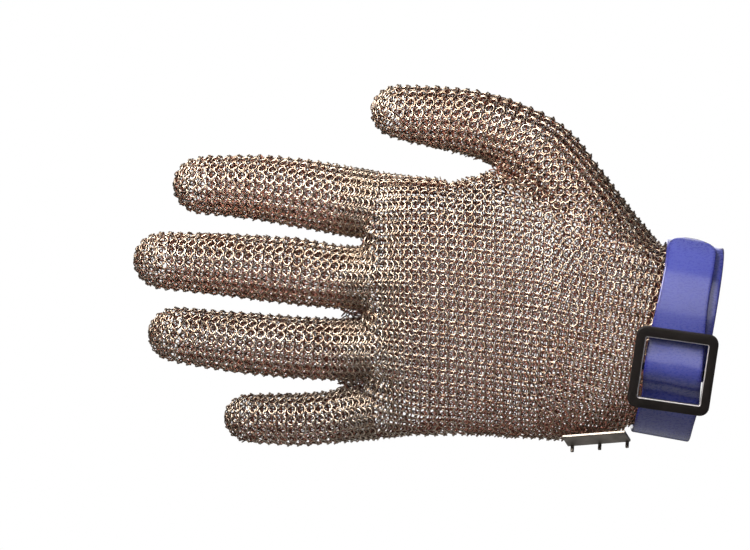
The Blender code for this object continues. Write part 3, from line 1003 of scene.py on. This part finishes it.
@dataclass
class MailTube:
    """A finger's tube of mail with its round end."""

    name: str
    spine: Spine
    around: int
    tip_radius: float
    root: float
    reach: float = 15.5
    spacing: float = 3.6
    pitches: Table = ((0.0, 1.9), (9.0, 1.95), (16.0, 3.0), (24.0, 3.36))
    palm_pitches: Table = ((0.0, 1.9), (9.0, 1.8), (16.0, 1.7))
    palm_turn: float = -0.35
    palm_shift: float = 0.5
    palm_start: float = 0.8
    is_thumb: bool = False
    web_x: float = -62.5
    web_y: float = 4.0
    web_turn: float = -0.6
    rings: list[Ring] = field(default_factory=list)

    def start(self, ahead: Vector, palm: bool = False) -> Vector:
        """Choose where round the finger a course starts.

        Args:
            ahead: The finger's way, toward its root.
            palm: True for a course of the palm side.

        Returns:
            The way to the back, to the palm or, on the thumb, toward its outer edge.
        """
        side = BACKWARD.cross(ahead).normalized()
        edge = side if side.z > 0 else -side
        if palm:
            return (side.cross(ahead) + (edge if self.is_thumb else Vector())).normalized()
        return edge if self.is_thumb else ahead.cross(side)

    def belongs(self, place: Vector, out: Vector) -> bool:
        """Say whose a place of the wall is.

        Args:
            place: The place.
            out: The wall's normal there.

        Returns:
            True where it is this finger's own.
        """
        if self.is_thumb:
            past_web = place.x > self.web_x * MM and place.y < self.web_y * MM
            return above_seam(place) and not (past_web and out.z < self.web_turn)
        return place.x < self.root * MM

    def on_back(self, place: Vector, out: Vector) -> bool:
        """True on the back and the sides of the finger."""
        return self.belongs(place, out) and out.dot(BACKWARD) > self.palm_turn

    def on_palm(self, place: Vector, out: Vector) -> bool:
        """True on the palm side of the finger."""
        return self.belongs(place, out) and out.dot(BACKWARD) <= self.palm_turn

    def tip_stations(self, pitch: float) -> Iterator[tuple[Station, int]]:
        """Go over the round end.

        Args:
            pitch: The distance between rings along a row.

        Yields:
            Each station, and how many rings go round.
        """
        tip, ahead = self.spine.at(0.0)
        start = self.start(ahead)
        courses = round(math.pi / 2 * self.tip_radius * MM / (pitch / 2))
        for i in range(courses):
            rise = math.pi / 2 * i / courses
            count = max(1, round(self.around * math.sin(rise)))
            yield Station(tip, ahead, start, rise), count

    def stations(self, palm: bool) -> Iterator[tuple[Station, float]]:
        """Go from the round end to the root.

        Args:
            palm: True to go along the palm side, where the courses lie closer.

        Yields:
            Each station and its pitch.
        """
        distance, end = self.palm_start * MM if palm else 0.0, self.spine.gone[-1]
        pitches = self.palm_pitches if palm else self.pitches
        shift = self.palm_shift if palm else 0.0
        while distance < end:
            origin, ahead = self.spine.at(distance)
            pitch = look_up(pitches, (end - distance) / MM) * MM
            yield Station(origin, ahead, self.start(ahead, palm), shift=shift), pitch
            distance += pitch / 2

    def lay(self, weave: Weave) -> None:
        """Lay the tube's rings: its round end, its back and sides, then its palm side.

        Args:
            weave: What lays them.
        """
        first = len(weave.laid)
        reach, spacing = self.reach * MM, self.spacing * MM
        end = self.spine.gone[-1] / MM + self.tip_radius
        tip_pitch = look_up(self.pitches, end) * MM
        odd = False
        weave.settle()
        for station, count in self.tip_stations(tip_pitch):
            weave.course(station, odd, tip_pitch, spacing, count, reach, self.belongs)
            odd = not odd
        for palm, keep in ((False, self.on_back), (True, self.on_palm)):
            for i, (station, pitch) in enumerate(self.stations(palm)):
                weave.course(station, odd ^ (i % 2 == 1), pitch, spacing, 0, reach, keep)
            weave.settle()
        self.rings = weave.laid[first:]


@dataclass
class HandSheet:
    """The back or the palm of the hand's mail, from the finger roots to the wrist."""

    side: Vector
    node: str
    first_x: float = -107.5
    last_x: float = -0.9
    split_x: float = -56.0
    lean_reach: float = 70.0
    reach: float = 80.0
    edge_turn: float = 0.3
    middles: Table = ((-107.0, 14.5), (-80.0, 12.5), (-50.0, 9.0), (-20.0, 3.0), (0.0, 0.0))
    halves: Table = ((-107.0, 42.0), (-50.0, 45.0), (-20.0, 34.0), (0.0, 31.0))
    depths: Table = ((-107.0, 13.0), (-50.0, 19.0), (0.0, 21.0))
    pitches: Table = (
        (-107.0, 1.9), (-100.0, 1.95), (-93.0, 3.0), (-86.0, 3.2), (-46.0, 3.15), (-30.0, 2.6),
        (-17.0, 2.15), (0.0, 2.15),
    )
    spacings: Table = ((-107.0, 4.0), (-92.0, 4.2), (-50.0, 4.4), (-20.0, 5.0), (0.0, 5.1))
    shift: float = 0.0
    rings: list[Ring] = field(default_factory=list)

    def belongs(self, place: Vector, out: Vector) -> bool:
        """True where the wall faces this sheet's side, off the thumb's mail."""
        return out.dot(self.side) > -self.edge_turn and not above_seam(place)

    def stations(self) -> Iterator[tuple[Station, float, float]]:
        """Go from the finger roots to the wrist.

        Yields:
            Each station, its pitch and its spacing.
        """
        x = self.first_x
        while x < self.last_x:
            lean = WRIST_LEAN * smooth_step(1.0 + x / self.lean_reach)
            ahead = Vector((math.cos(lean), 0.0, -math.sin(lean)))
            origin = Vector((x, 0.0, look_up(self.middles, x))) * MM
            broad = look_up(self.halves, x) / look_up(self.depths, x)
            pitch = look_up(self.pitches, x)
            station = Station(origin, ahead, self.side, broad=broad, shift=self.shift)
            yield station, pitch * MM, look_up(self.spacings, x) * MM
            x += pitch / 2

    def lay(self, weave: Weave) -> None:
        """Lay the sheet's rings.

        Args:
            weave: What lays them.
        """
        first, reach = len(weave.laid), self.reach * MM
        weave.settle()
        for i, (station, pitch, spacing) in enumerate(self.stations()):
            weave.course(station, i % 2 == 1, pitch, spacing, 0, reach, self.belongs)
        self.rings = weave.laid[first:]


@dataclass
class RingPress:
    """Stamps closed wire rings into one mesh."""

    radius: float = 1.60 * MM
    wire: float = 0.24 * MM
    steps: int = 12
    sides: int = 4
    joint: float = 1.22
    size_stray: float = 0.012
    # How the painted shade mask is made: from the way the wire faces, from its height over the
    # ring's middle, and lower for the under-leaning rings.
    facing_share: float = 0.7
    place_share: float = 0.5
    under_shade: float = 0.42
    # Painted shade: how much duller the rings get towards the wrist, by x, and towards the bottom,
    # by z, in millimetres.
    shade_along: Table = ((-102.0, 0.0), (-84.0, 0.3), (-50.0, 0.5), (0.0, 0.7))
    shade_by_z: Table = ((-30.0, 1.0), (10.0, 0.65), (50.0, 0.25))
    seed: int = 23

    def template(self) -> bpy.types.Mesh:
        """Make one ring in the XY plane, with a slightly thick welded joint.

        Returns:
            Its mesh, with the attributes still to be filled.
        """
        bm = bmesh.new()
        upright = Matrix.Rotation(math.pi / 2, 4, "X") @ Matrix.Rotation(math.pi / 4, 4, "Z")
        place = Matrix.Translation((self.radius, 0.0, 0.0)) @ upright
        section = bmesh.ops.create_circle(
            bm, segments=self.sides, radius=self.wire, matrix=place
        )["verts"]
        edges = list({edge for vert in section for edge in vert.link_edges})
        bmesh.ops.spin(
            bm, geom=section + edges, cent=(0, 0, 0), axis=(0, 0, 1), angle=2 * math.pi,
            steps=self.steps, use_merge=True,
        )
        joint = [vert for vert in bm.verts if abs(vert.co.y) < self.wire / 4 and vert.co.x > 0]
        middle = Matrix.Translation((-self.radius, 0.0, 0.0))
        bmesh.ops.scale(bm, vec=(self.joint,) * 3, space=middle, verts=joint)
        bmesh.ops.recalc_face_normals(bm, faces=bm.faces)
        mesh = mesh_of(bm, "ring")
        for mark in (Mark.TONE, Mark.SHADE):
            mesh.attributes.new(mark.value, "FLOAT", "POINT")
        return mesh

    def stamp(self, name: str, rings: list[Ring]) -> bpy.types.Mesh:
        """Join copies of the ring, one in each place.

        Args:
            name: The mesh's name.
            rings: The places.

        Returns:
            The joined mesh.
        """
        chance = np.random.default_rng(self.seed + len(rings))
        ring_mesh = self.template()
        count = len(ring_mesh.vertices)
        flat = np.empty(count * 3, np.float32)
        ring_mesh.vertices.foreach_get("co", flat)
        shape = flat.reshape(-1, 3).astype(float)
        core = shape * (1.0, 1.0, 0.0)
        core *= self.radius / np.linalg.norm(core, axis=1, keepdims=True)
        facing = (shape - core) / self.wire
        bm = bmesh.new()
        for ring in rings:
            across = ring.out.cross(ring.row)
            row = ring.row * math.cos(ring.lean) + ring.out * math.sin(ring.lean)
            turn = np.array((row, across, row.cross(across))).T
            angle = chance.uniform(0.0, 2.0 * math.pi)
            spun = np.array(Matrix.Rotation(angle, 3, "Z"))
            size = 1.0 + chance.normal() * self.size_stray
            offset = shape @ (turn @ spun).T * size
            out = np.array(ring.out)
            # Painted shade mask: high where the wire faces outward and stands high, low on its
            # flanks and inner side, and lower on the under-leaning rings.
            height = self.facing_share * (facing @ (turn @ spun).T @ out)
            height += self.place_share * (offset @ out) / self.radius
            if ring.lean < 0.0:
                height -= self.under_shade
            corners = (offset + np.array(ring.place)).astype(np.float32)
            ring_mesh.vertices.foreach_set("co", corners.ravel())
            # Painted shade towards the wrist and the bottom, added to the ring's random tone.
            dulling = look_up(self.shade_along, ring.place.x / MM)
            dulling *= look_up(self.shade_by_z, ring.place.z / MM)
            tone = np.full(count, chance.uniform() + dulling)
            for mark, values in ((Mark.TONE, tone), (Mark.SHADE, height)):
                data = ring_mesh.attributes[mark.value].data
                data.foreach_set("value", values.astype(np.float32))
            bm.from_mesh(ring_mesh)
        bpy.data.meshes.remove(ring_mesh)
        return mesh_of(bm, name)


@dataclass
class Mail:
    """All the linked rings of the glove."""

    finish: WireFinish = WireFinish("drawn_steel_wire")
    press: RingPress = field(default_factory=RingPress)
    tubes: tuple[MailTube, ...] = (
        MailTube(
            "mail_index",
            Spine((
                (-166.6, 7.4, 53.9), (-149.0, 4.8, 53.2), (-132.0, 2.8, 51.0),
                (-118.5, 1.4, 48.6), (-106.0, 0.2, 46.6),
            )),
            19, 9.6, -106.0,
        ),
        MailTube(
            "mail_middle",
            Spine((
                (-180.4, 7.2, 27.8), (-157.0, 3.0, 26.2), (-134.0, 0.0, 24.0),
                (-118.5, -1.4, 22.0), (-106.0, -2.2, 21.3),
            )),
            19, 9.5, -106.0,
        ),
        MailTube(
            "mail_ring_finger",
            Spine((
                (-175.8, 8.8, 2.1), (-154.0, 4.4, -0.5), (-134.0, 1.4, -2.2),
                (-118.5, -0.4, -2.9), (-106.0, -1.4, -2.9),
            )),
            17, 9.2, -106.0,
        ),
        MailTube(
            "mail_little",
            Spine((
                (-150.5, 9.2, -26.8), (-134.0, 6.0, -27.3), (-121.0, 4.0, -26.2),
                (-111.0, 3.0, -24.4), (-106.0, 2.7, -23.8),
            )),
            15, 8.2, -106.0, palm_shift=0.25, palm_start=0.0,
        ),
        MailTube(
            "mail_thumb",
            Spine((
                (-98.8, 12.0, 79.6), (-85.0, 10.6, 77.6), (-73.0, 9.4, 75.6), (-61.0, 8.2, 71.6),
                (-49.0, 6.8, 64.2), (-38.0, 5.2, 51.4), (-23.0, 3.4, 35.8), (-11.0, 2.0, 25.0),
                (-1.0, 1.0, 15.0),
            )),
            17, 9.0, 0.0, reach=24.0, is_thumb=True,
            pitches=((0.0, 2.3), (20.0, 2.6), (40.0, 3.1), (60.0, 3.3)),
            palm_pitches=((0.0, 1.9), (20.0, 1.7), (40.0, 1.6), (60.0, 1.66)),
        ),
    )
    sheets: tuple[HandSheet, ...] = (
        HandSheet(BACKWARD, "mail_back"),
        HandSheet(
            -BACKWARD, "mail_palm", first_x=-106.9, shift=0.25,
            pitches=(
                (-107.0, 1.7), (-100.0, 1.6), (-93.0, 1.54), (-86.0, 1.64), (-46.0, 1.61),
                (-30.0, 1.6), (-17.0, 1.56),
            ),
            spacings=((-107.0, 4.1), (-92.0, 4.3), (-50.0, 4.4), (-38.0, 3.76), (0.0, 3.71)),
        ),
    )
    thumb_split_x: float = -63.0

    def build(self) -> None:
        """Lay and stamp every ring."""
        form = MailForm()
        form.build()
        weave = Weave(form)
        steel = self.finish.build()
        parts = (*self.tubes, *self.sheets)
        starts = []
        for part in parts:
            starts.append(len(weave.laid))
            part.lay(weave)
        mended = weave.mend()
        for nearest, ring in mended:
            parts[int(np.searchsorted(starts, nearest, side="right")) - 1].rings.append(ring)
        for tube in self.tubes:
            rings = tube.rings
            if tube.is_thumb:
                rings, root = self.parted(rings, self.thumb_split_x)
                self.dress("mail_thumb_root", root, steel, "mail_back", "mail_palm")
            self.dress(tube.name, rings, steel, tube.name)
        for sheet in self.sheets:
            front, cuff = self.parted(sheet.rings, sheet.split_x)
            self.dress(f"{sheet.node}_knuckles", front, steel, sheet.node)
            self.dress(f"{sheet.node}_cuff", cuff, steel, sheet.node)
        log.info("%d rings, %d of them in gaps", len(weave.laid) + len(mended), len(mended))

    def parted(self, rings: list[Ring], x: float) -> tuple[list[Ring], list[Ring]]:
        """The rings before an x, in millimetres, and those past it."""
        front = [ring for ring in rings if ring.place.x < x * MM]
        return front, [ring for ring in rings if ring.place.x >= x * MM]

    def dress(
        self, name: str, rings: list[Ring], steel: bpy.types.Material, *nodes: str
    ) -> None:
        """Stamp a run of rings as one piece."""
        add_piece(name, self.press.stamp(name, rings), steel, Slot.MAIL, *nodes)


# ---------------------------------------------------------------- the strap and the buckle


@dataclass
class WristPath:
    """The way round the wrist that the strap takes, and where the buckle sits on it."""

    height: float = 63.6 * MM
    depth: float = 45.2 * MM
    power: float = 2.35
    gap: float = 0.5 * MM
    thickness: float = 1.7 * MM
    centre: float = -2.4 * MM
    buckle_height: float = -10.0 * MM
    samples: int = 1440

    def __post_init__(self) -> None:
        """Measure once round."""
        self.angles = [2.0 * math.pi * i / self.samples for i in range(self.samples + 1)]
        points = [self.at_angle(angle, 0.0) for angle in self.angles]
        self.gone = distances(points)
        self.loop = self.gone[-1]
        self.bar_angle = next(
            angle for angle, point in zip(self.angles, points)
            if angle > math.pi / 2 and point.dot(UP_WRIST) < self.buckle_height
        )
        self.bar = float(np.interp(self.bar_angle, self.angles, self.gone))

    def at_angle(self, angle: float, lift: float) -> Vector:
        """Find a point of the strap's middle surface.

        Args:
            angle: 0 on the thumb side, a quarter turn on the back.
            lift: Height over the first layer.

        Returns:
            The point.
        """
        grown = self.gap + self.thickness / 2 + lift
        shares = [
            math.copysign(abs(value) ** (2.0 / self.power), value)
            for value in (math.cos(angle), math.sin(angle))
        ]
        up = UP_WRIST * shares[0] * (self.height / 2 + grown)
        back = BACKWARD * shares[1] * (self.depth / 2 + grown)
        return up + back + ALONG_WRIST * self.centre

    def at(self, past_bar: float, lift: float) -> Vector:
        """A point by its distance past the buckle's bar."""
        distance = (self.bar - past_bar) % self.loop
        return self.at_angle(float(np.interp(distance, self.gone, self.angles)), lift)


PATH = WristPath()
BUCKLE_SIDE = 28.0 * MM
BUCKLE_SHIFT = -1.3 * MM
BUCKLE_TURN = math.radians(2.3)


@dataclass
class WristStrap:
    """The flat plastic band: once round, over the buckle's bar, and back over itself."""

    width: float = 20.4 * MM
    tail_width: float = 17.4 * MM
    tail_shift: float = -1.4 * MM
    settles: float = 28.0 * MM
    lift: float = 2.0 * MM
    climb: float = 9.0 * MM
    bulge: float = 2.1 * MM
    bulge_reach: float = 5.5 * MM
    tail: float = 50.0 * MM
    tip: float = 8.0 * MM
    tip_end: float = 0.7 * MM
    start: float = 2.6 * MM
    slack: float = 0.9 * MM
    slack_place: float = 11.0 * MM
    slack_reach: float = 7.0 * MM
    step: float = 0.9 * MM
    tip_steps: int = 14
    columns: int = 12
    edge: float = 0.5 * MM
    waver: float = 0.10 * MM
    waver_length: float = 2.3 * MM
    waver_drift: float = 6.0 * MM
    waver_across: float = 2.6
    waver_reach: float = 9.0 * MM
    ripple: float = 0.6
    ripple_length: float = 1.3 * MM
    ripple_across: float = 4.0
    finish: StrapFinish = StrapFinish("glossy_strap_plastic")

    def lift_at(self, past_bar: float) -> float:
        """Height over the first layer."""
        climb = smooth_step((past_bar + self.climb) / self.climb) * self.lift
        return climb + self.bulge * math.exp(-((past_bar / self.bulge_reach) ** 2))

    def shift_at(self, past_bar: float) -> float:
        """Find how far the band lies off its plane.

        Args:
            past_bar: The distance past the bar.

        Returns:
            The shift along the wrist.
        """
        in_buckle = math.exp(-((past_bar / BUCKLE_SIDE) ** 4))
        settled = smooth_step(past_bar / self.settles)
        in_line = BUCKLE_SHIFT - math.tan(BUCKLE_TURN) * past_bar
        under = self.slack * math.exp(-(((past_bar + self.slack_place) / self.slack_reach) ** 2))
        return settled * self.tail_shift * (1.0 - in_buckle) + in_line * in_buckle + under

    def half_width_at(self, past_bar: float) -> float:
        """Find half the width, which ends in a round tip.

        Args:
            past_bar: The distance past the bar.

        Returns:
            Half the width.
        """
        settled = smooth_step(past_bar / self.settles)
        half = (self.width + settled * (self.tail_width - self.width)) / 2
        into_tip = max(past_bar - (self.tail - self.tip), 0.0) / self.tip
        return max(half * math.sqrt(1.0 - min(into_tip, 1.0) ** 2), self.tip_end)

    def steps_along(self) -> list[float]:
        """Go from the hidden start to the tip, with closer steps at the tip.

        Returns:
            Distances past the bar.
        """
        start = -PATH.loop - self.start
        straight_end = self.tail - self.tip
        count = round((straight_end - start) / self.step)
        steps = [start + (straight_end - start) * i / count for i in range(count)]
        for i in range(self.tip_steps + 1):
            steps.append(straight_end + self.tip * math.sin(math.pi / 2 * i / self.tip_steps))
        return steps

    def waver_at(self, past_bar: float, across: float) -> float:
        """Find how far the band wavers where it shows in the buckle's window.

        Args:
            past_bar: The distance past the bar.
            across: The place across the band, -1 to 1.

        Returns:
            The height of the waver.
        """
        turn = across * self.waver_across + past_bar / self.waver_drift
        wave = math.sin(past_bar / self.waver_length) * math.cos(turn)
        wave += self.ripple * math.sin(past_bar / self.ripple_length + across * self.ripple_across)
        in_window = math.exp(-((past_bar / self.waver_reach) ** 2))
        return self.waver * wave * in_window * (1.0 - across * across)

    def sheet(self) -> bmesh.types.BMesh:
        """Make the band's middle surface.

        Returns:
            Its bmesh.
        """
        steps = self.steps_along()
        bm = bmesh.new()
        bmesh.ops.create_grid(
            bm, x_segments=self.columns, y_segments=len(steps) - 1, size=1.0
        )
        middles = [PATH.at(step, self.lift_at(step)) for step in steps]
        last = len(steps) - 1
        for vert in bm.verts:
            across, row = vert.co.x, round((vert.co.y + 1.0) / 2.0 * last)
            step = steps[row]
            along = middles[min(row + 1, last)] - middles[max(row - 1, 0)]
            out = along.cross(ALONG_WRIST).normalized()
            side = self.half_width_at(step) - self.edge / 2
            shift = self.shift_at(step) + across * side
            vert.co = middles[row] + ALONG_WRIST * shift + out * self.waver_at(step, across)
        return bm

    def build(self) -> None:
        """Thicken the sheet, round its edges, mark them for painted shade, and dress it."""
        bm = self.sheet()
        bmesh.ops.recalc_face_normals(bm, faces=bm.faces)
        middle = PATH.at(-PATH.loop / 3, 0.0)
        nearest = min(bm.faces, key=lambda face: (face.calc_center_median() - middle).length)
        if nearest.normal.dot(nearest.calc_center_median() - ALONG_WRIST * PATH.centre) < 0:
            bmesh.ops.reverse_faces(bm, faces=bm.faces)
        for vert in bm.verts:
            vert.co += vert.normal * PATH.thickness / 2
        bmesh.ops.solidify(bm, geom=bm.faces[:], thickness=PATH.thickness)
        bmesh.ops.recalc_face_normals(bm, faces=bm.faces)
        rounding = round_off(bm, sharp_edges(bm), self.edge)
        # Marks the rounded rims, where the finish paints shade.
        rim = bm.verts.layers.float.new(Mark.RIM.value)
        for face in rounding:
            for vert in face.verts:
                vert[rim] = 1.0
        mesh = mesh_of(bm, "wrist_strap")
        add_piece("strap_band", mesh, self.finish.build(), Slot.STRAP, "wrist_strap")


@dataclass
class SlideBuckle:
    """A square frame with rounded corners, and a bar under the strap's loop."""

    side: float = BUCKLE_SIDE
    window: tuple[float, float] = (21.2 * MM, 20.8 * MM)
    thickness: float = 2.4 * MM
    underside: float = 2.4 * MM
    corner: float = 3.2 * MM
    inner_corner: float = 0.45 * MM
    corner_steps: int = 6
    edge: float = 0.42 * MM
    bar_width: float = 2.4 * MM
    bar_thickness: float = 1.6 * MM
    bar_underside: float = 1.2 * MM
    bar_root: float = 2.0 * MM
    nudge: float = 0.01
    rim_reach: float = 1.02
    rim_band: tuple[float, float] = (0.95, 0.05)
    finish: CoatFinish = CoatFinish("black_buckle_coat")

    def place(self) -> Matrix:
        """Find where the buckle sits.

        Returns:
            Its place, with X across the strap, Y along it and Z out of the wrist.
        """
        above, below = (PATH.at_angle(PATH.bar_angle + way * self.nudge, 0.0) for way in (-1, 1))
        up = above - below
        x_axis = ALONG_WRIST.normalized()
        z_axis = x_axis.cross(up).normalized()
        turn = Matrix((x_axis, z_axis.cross(x_axis), z_axis)).transposed().to_4x4()
        middle = PATH.at_angle(PATH.bar_angle, 0.0) + ALONG_WRIST * BUCKLE_SHIFT
        flat = Matrix.Translation(middle) @ turn
        return flat @ Matrix.Rotation(BUCKLE_TURN, 4, "Z")

    def outline(
        self, bm: bmesh.types.BMesh, size: tuple[float, float], corner: float
    ) -> list[bmesh.types.BMEdge]:
        """Add a rectangle with rounded corners.

        Args:
            bm: The bmesh to add it to.
            size: Its width and height.
            corner: Its corners' radius.

        Returns:
            Its edges.
        """
        before = set(bm.edges)
        turned = Matrix.Rotation(math.pi / 4, 4, "Z")
        made = bmesh.ops.create_circle(bm, segments=4, radius=math.sqrt(0.5), matrix=turned)
        bmesh.ops.scale(bm, vec=(*size, 1.0), verts=made["verts"])
        bmesh.ops.bevel(
            bm, geom=made["verts"], offset=corner, affect="VERTICES",
            segments=self.corner_steps, profile=0.5, material=-1,
        )
        return [edge for edge in bm.edges if edge not in before]

    def build_frame(self) -> bmesh.types.BMesh:
        """Make the flat frame with its edges rounded and its inner rim marked for a painted
        highlight.

        Returns:
            Its bmesh.
        """
        bm = bmesh.new()
        outer = self.outline(bm, (self.side, self.side), self.corner)
        inner = self.outline(bm, self.window, self.inner_corner)
        flat = bmesh.ops.bridge_loops(bm, edges=outer + inner)["faces"]
        bmesh.ops.translate(bm, verts=bm.verts, vec=(0.0, 0.0, self.underside))
        raised = bmesh.ops.extrude_face_region(bm, geom=flat, use_keep_orig=True)["geom"]
        top = [item for item in raised if isinstance(item, bmesh.types.BMVert)]
        bmesh.ops.translate(bm, verts=top, vec=(0.0, 0.0, self.thickness))
        bmesh.ops.recalc_face_normals(bm, faces=bm.faces)
        round_off(bm, sharp_edges(bm), self.edge)
        # Marks the inner rim's rounding, where the finish paints a highlight.
        rim = bm.verts.layers.float.new(Mark.RIM.value)
        low, high = (self.underside + self.thickness - self.edge * n for n in self.rim_band)
        half = [side / 2 + self.edge * self.rim_reach for side in self.window]
        for vert in bm.verts:
            inside = abs(vert.co.x) < half[0] and abs(vert.co.y) < half[1]
            rounded = low < vert.co.z < high
            vert[rim] = 1.0 if inside and rounded else 0.0
        return bm

    def build(self) -> None:
        """Build the frame and the bar as one piece, and dress it."""
        bm = self.build_frame()
        bar = bmesh.ops.create_cube(bm, size=1.0)["verts"]
        size = (self.window[0] + self.bar_root, self.bar_width, self.bar_thickness)
        bmesh.ops.scale(bm, vec=size, verts=bar)
        lift = self.bar_underside + self.bar_thickness / 2
        bmesh.ops.translate(bm, verts=bar, vec=(0.0, 0.0, lift))
        edges = list({edge for vert in bar for edge in vert.link_edges})
        round_off(bm, edges, self.edge)
        bmesh.ops.transform(bm, matrix=self.place(), verts=bm.verts)
        mesh = mesh_of(bm, "slide_buckle")
        add_piece("slide_buckle", mesh, self.finish.build(), Slot.BUCKLE, "buckle_frame")


@dataclass
class SidePlate:
    """The steel plate at the cuff, which keeps its CAD shape."""

    node: str = "side_plate"
    finish: PlateFinish = PlateFinish("satin_plate_steel")

    def build(self) -> None:
        """Dress the CAD node."""
        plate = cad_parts[self.node]
        steel = self.finish.build()
        for slot in plate.material_slots:
            slot.material = steel
        log.info("%s: CAD shape, new finish", self.node)


# ---------------------------------------------------------------- the studio


@dataclass
class Studio:
    """A pale floor, soft lights and the camera."""

    aim: tuple[float, float, float] = (-0.1066, 0.0, 0.02277)
    distance: float = 1.6
    view_width: float = 0.25875
    sensor: float = 36.0
    floor_level: float = -0.75
    floor_radius: float = 2.2
    seen_sky: float = 1.0
    lighting_sky: float = 0.07

    def floor(self) -> None:
        """A wide pale disc under the glove."""
        bm = bmesh.new()
        bmesh.ops.create_circle(
            bm, cap_ends=True, segments=96, radius=self.floor_radius,
            matrix=Matrix.Translation((self.aim[0], 0.0, self.floor_level)),
        )
        mesh = mesh_of(bm, "studio_floor")
        mesh.materials.append(FloorFinish("pale_floor").build())
        disc = link_object("studio_floor", mesh)
        disc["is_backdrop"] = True

    def light(
        self, name: str, place: tuple[float, float, float], size: float, power: float,
        tint: Colour = (1.0, 1.0, 1.0),
    ) -> None:
        """Add a square soft light aimed at the glove.

        Args:
            name: Its name.
            place: Where it stands.
            size: Its side.
            power: Its power in watts.
            tint: Its colour.
        """
        data = bpy.data.lights.new(name, "AREA")
        data.size = size
        data.energy = power
        data.color = tint
        lamp = link_object(name, data)
        lamp.location = place
        aim = Vector(self.aim) - Vector(place)
        lamp.rotation_euler = aim.to_track_quat("-Z", "Y").to_euler()

    def sky(self) -> None:
        """An even sky: white to look at, softer as a light."""
        world = bpy.data.worlds.new("studio_sky")
        world.use_nodes = True
        bpy.context.scene.world = world
        bench = NodeBench(world.node_tree)
        back = next(node for node in world.node_tree.nodes if node.type == "BACKGROUND")
        back.inputs["Color"].default_value = (1.0, 1.0, 1.0, 1.0)
        seen = bench.add("ShaderNodeLightPath").outputs["Is Camera Ray"]
        strength = bench.between(seen, self.lighting_sky, self.seen_sky)
        bench.tree.links.new(strength, back.inputs["Strength"])

    def camera(self) -> None:
        """Look straight at the back of the hand."""
        data = bpy.data.cameras.new("camera")
        data.sensor_width = self.sensor
        data.lens = self.sensor * self.distance / self.view_width
        eye = link_object("camera", data)
        eye.location = (self.aim[0], self.aim[1] - self.distance, self.aim[2])
        eye.rotation_euler = (math.pi / 2, 0.0, 0.0)
        bpy.context.scene.camera = eye

    def build(self) -> None:
        """Set everything up."""
        self.floor()
        self.light("key_light", (-0.40, -2.05, 0.90), 2.2, 2.0, (1.0, 0.97, 0.93))
        self.light("upper_light", (-0.215, -0.165, 0.245), 0.22, 2.75, (1.0, 0.96, 0.91))
        self.light("strap_light", (0.02, -0.66, 0.42), 0.55, 1.9, (1.0, 0.98, 0.96))
        self.light("side_light", (1.2, -0.9, 0.2), 0.9, 0.8, (0.95, 0.97, 1.0))
        self.light("top_light", (-0.1, 0.3, 2.2), 2.5, 4.5)
        self.light("back_light", (-0.3, 1.3, 0.5), 1.1, 7.0)
        self.sky()
        self.camera()
        bpy.context.scene.view_settings.view_transform = "Standard"
        log.info("studio ready")


def main() -> None:
    """Build the glove and its studio."""
    logging.basicConfig(level=logging.INFO, format="%(name)s %(message)s")
    for part in (Mail(), WristStrap(), SlideBuckle(), SidePlate(), Studio()):
        part.build()
    boxes = {"cad": CAD_BOX, "visual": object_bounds()}
    sizes = {name: [[float(v) for v in corner] for corner in box] for name, box in boxes.items()}


if __name__ == "__main__":
    main()
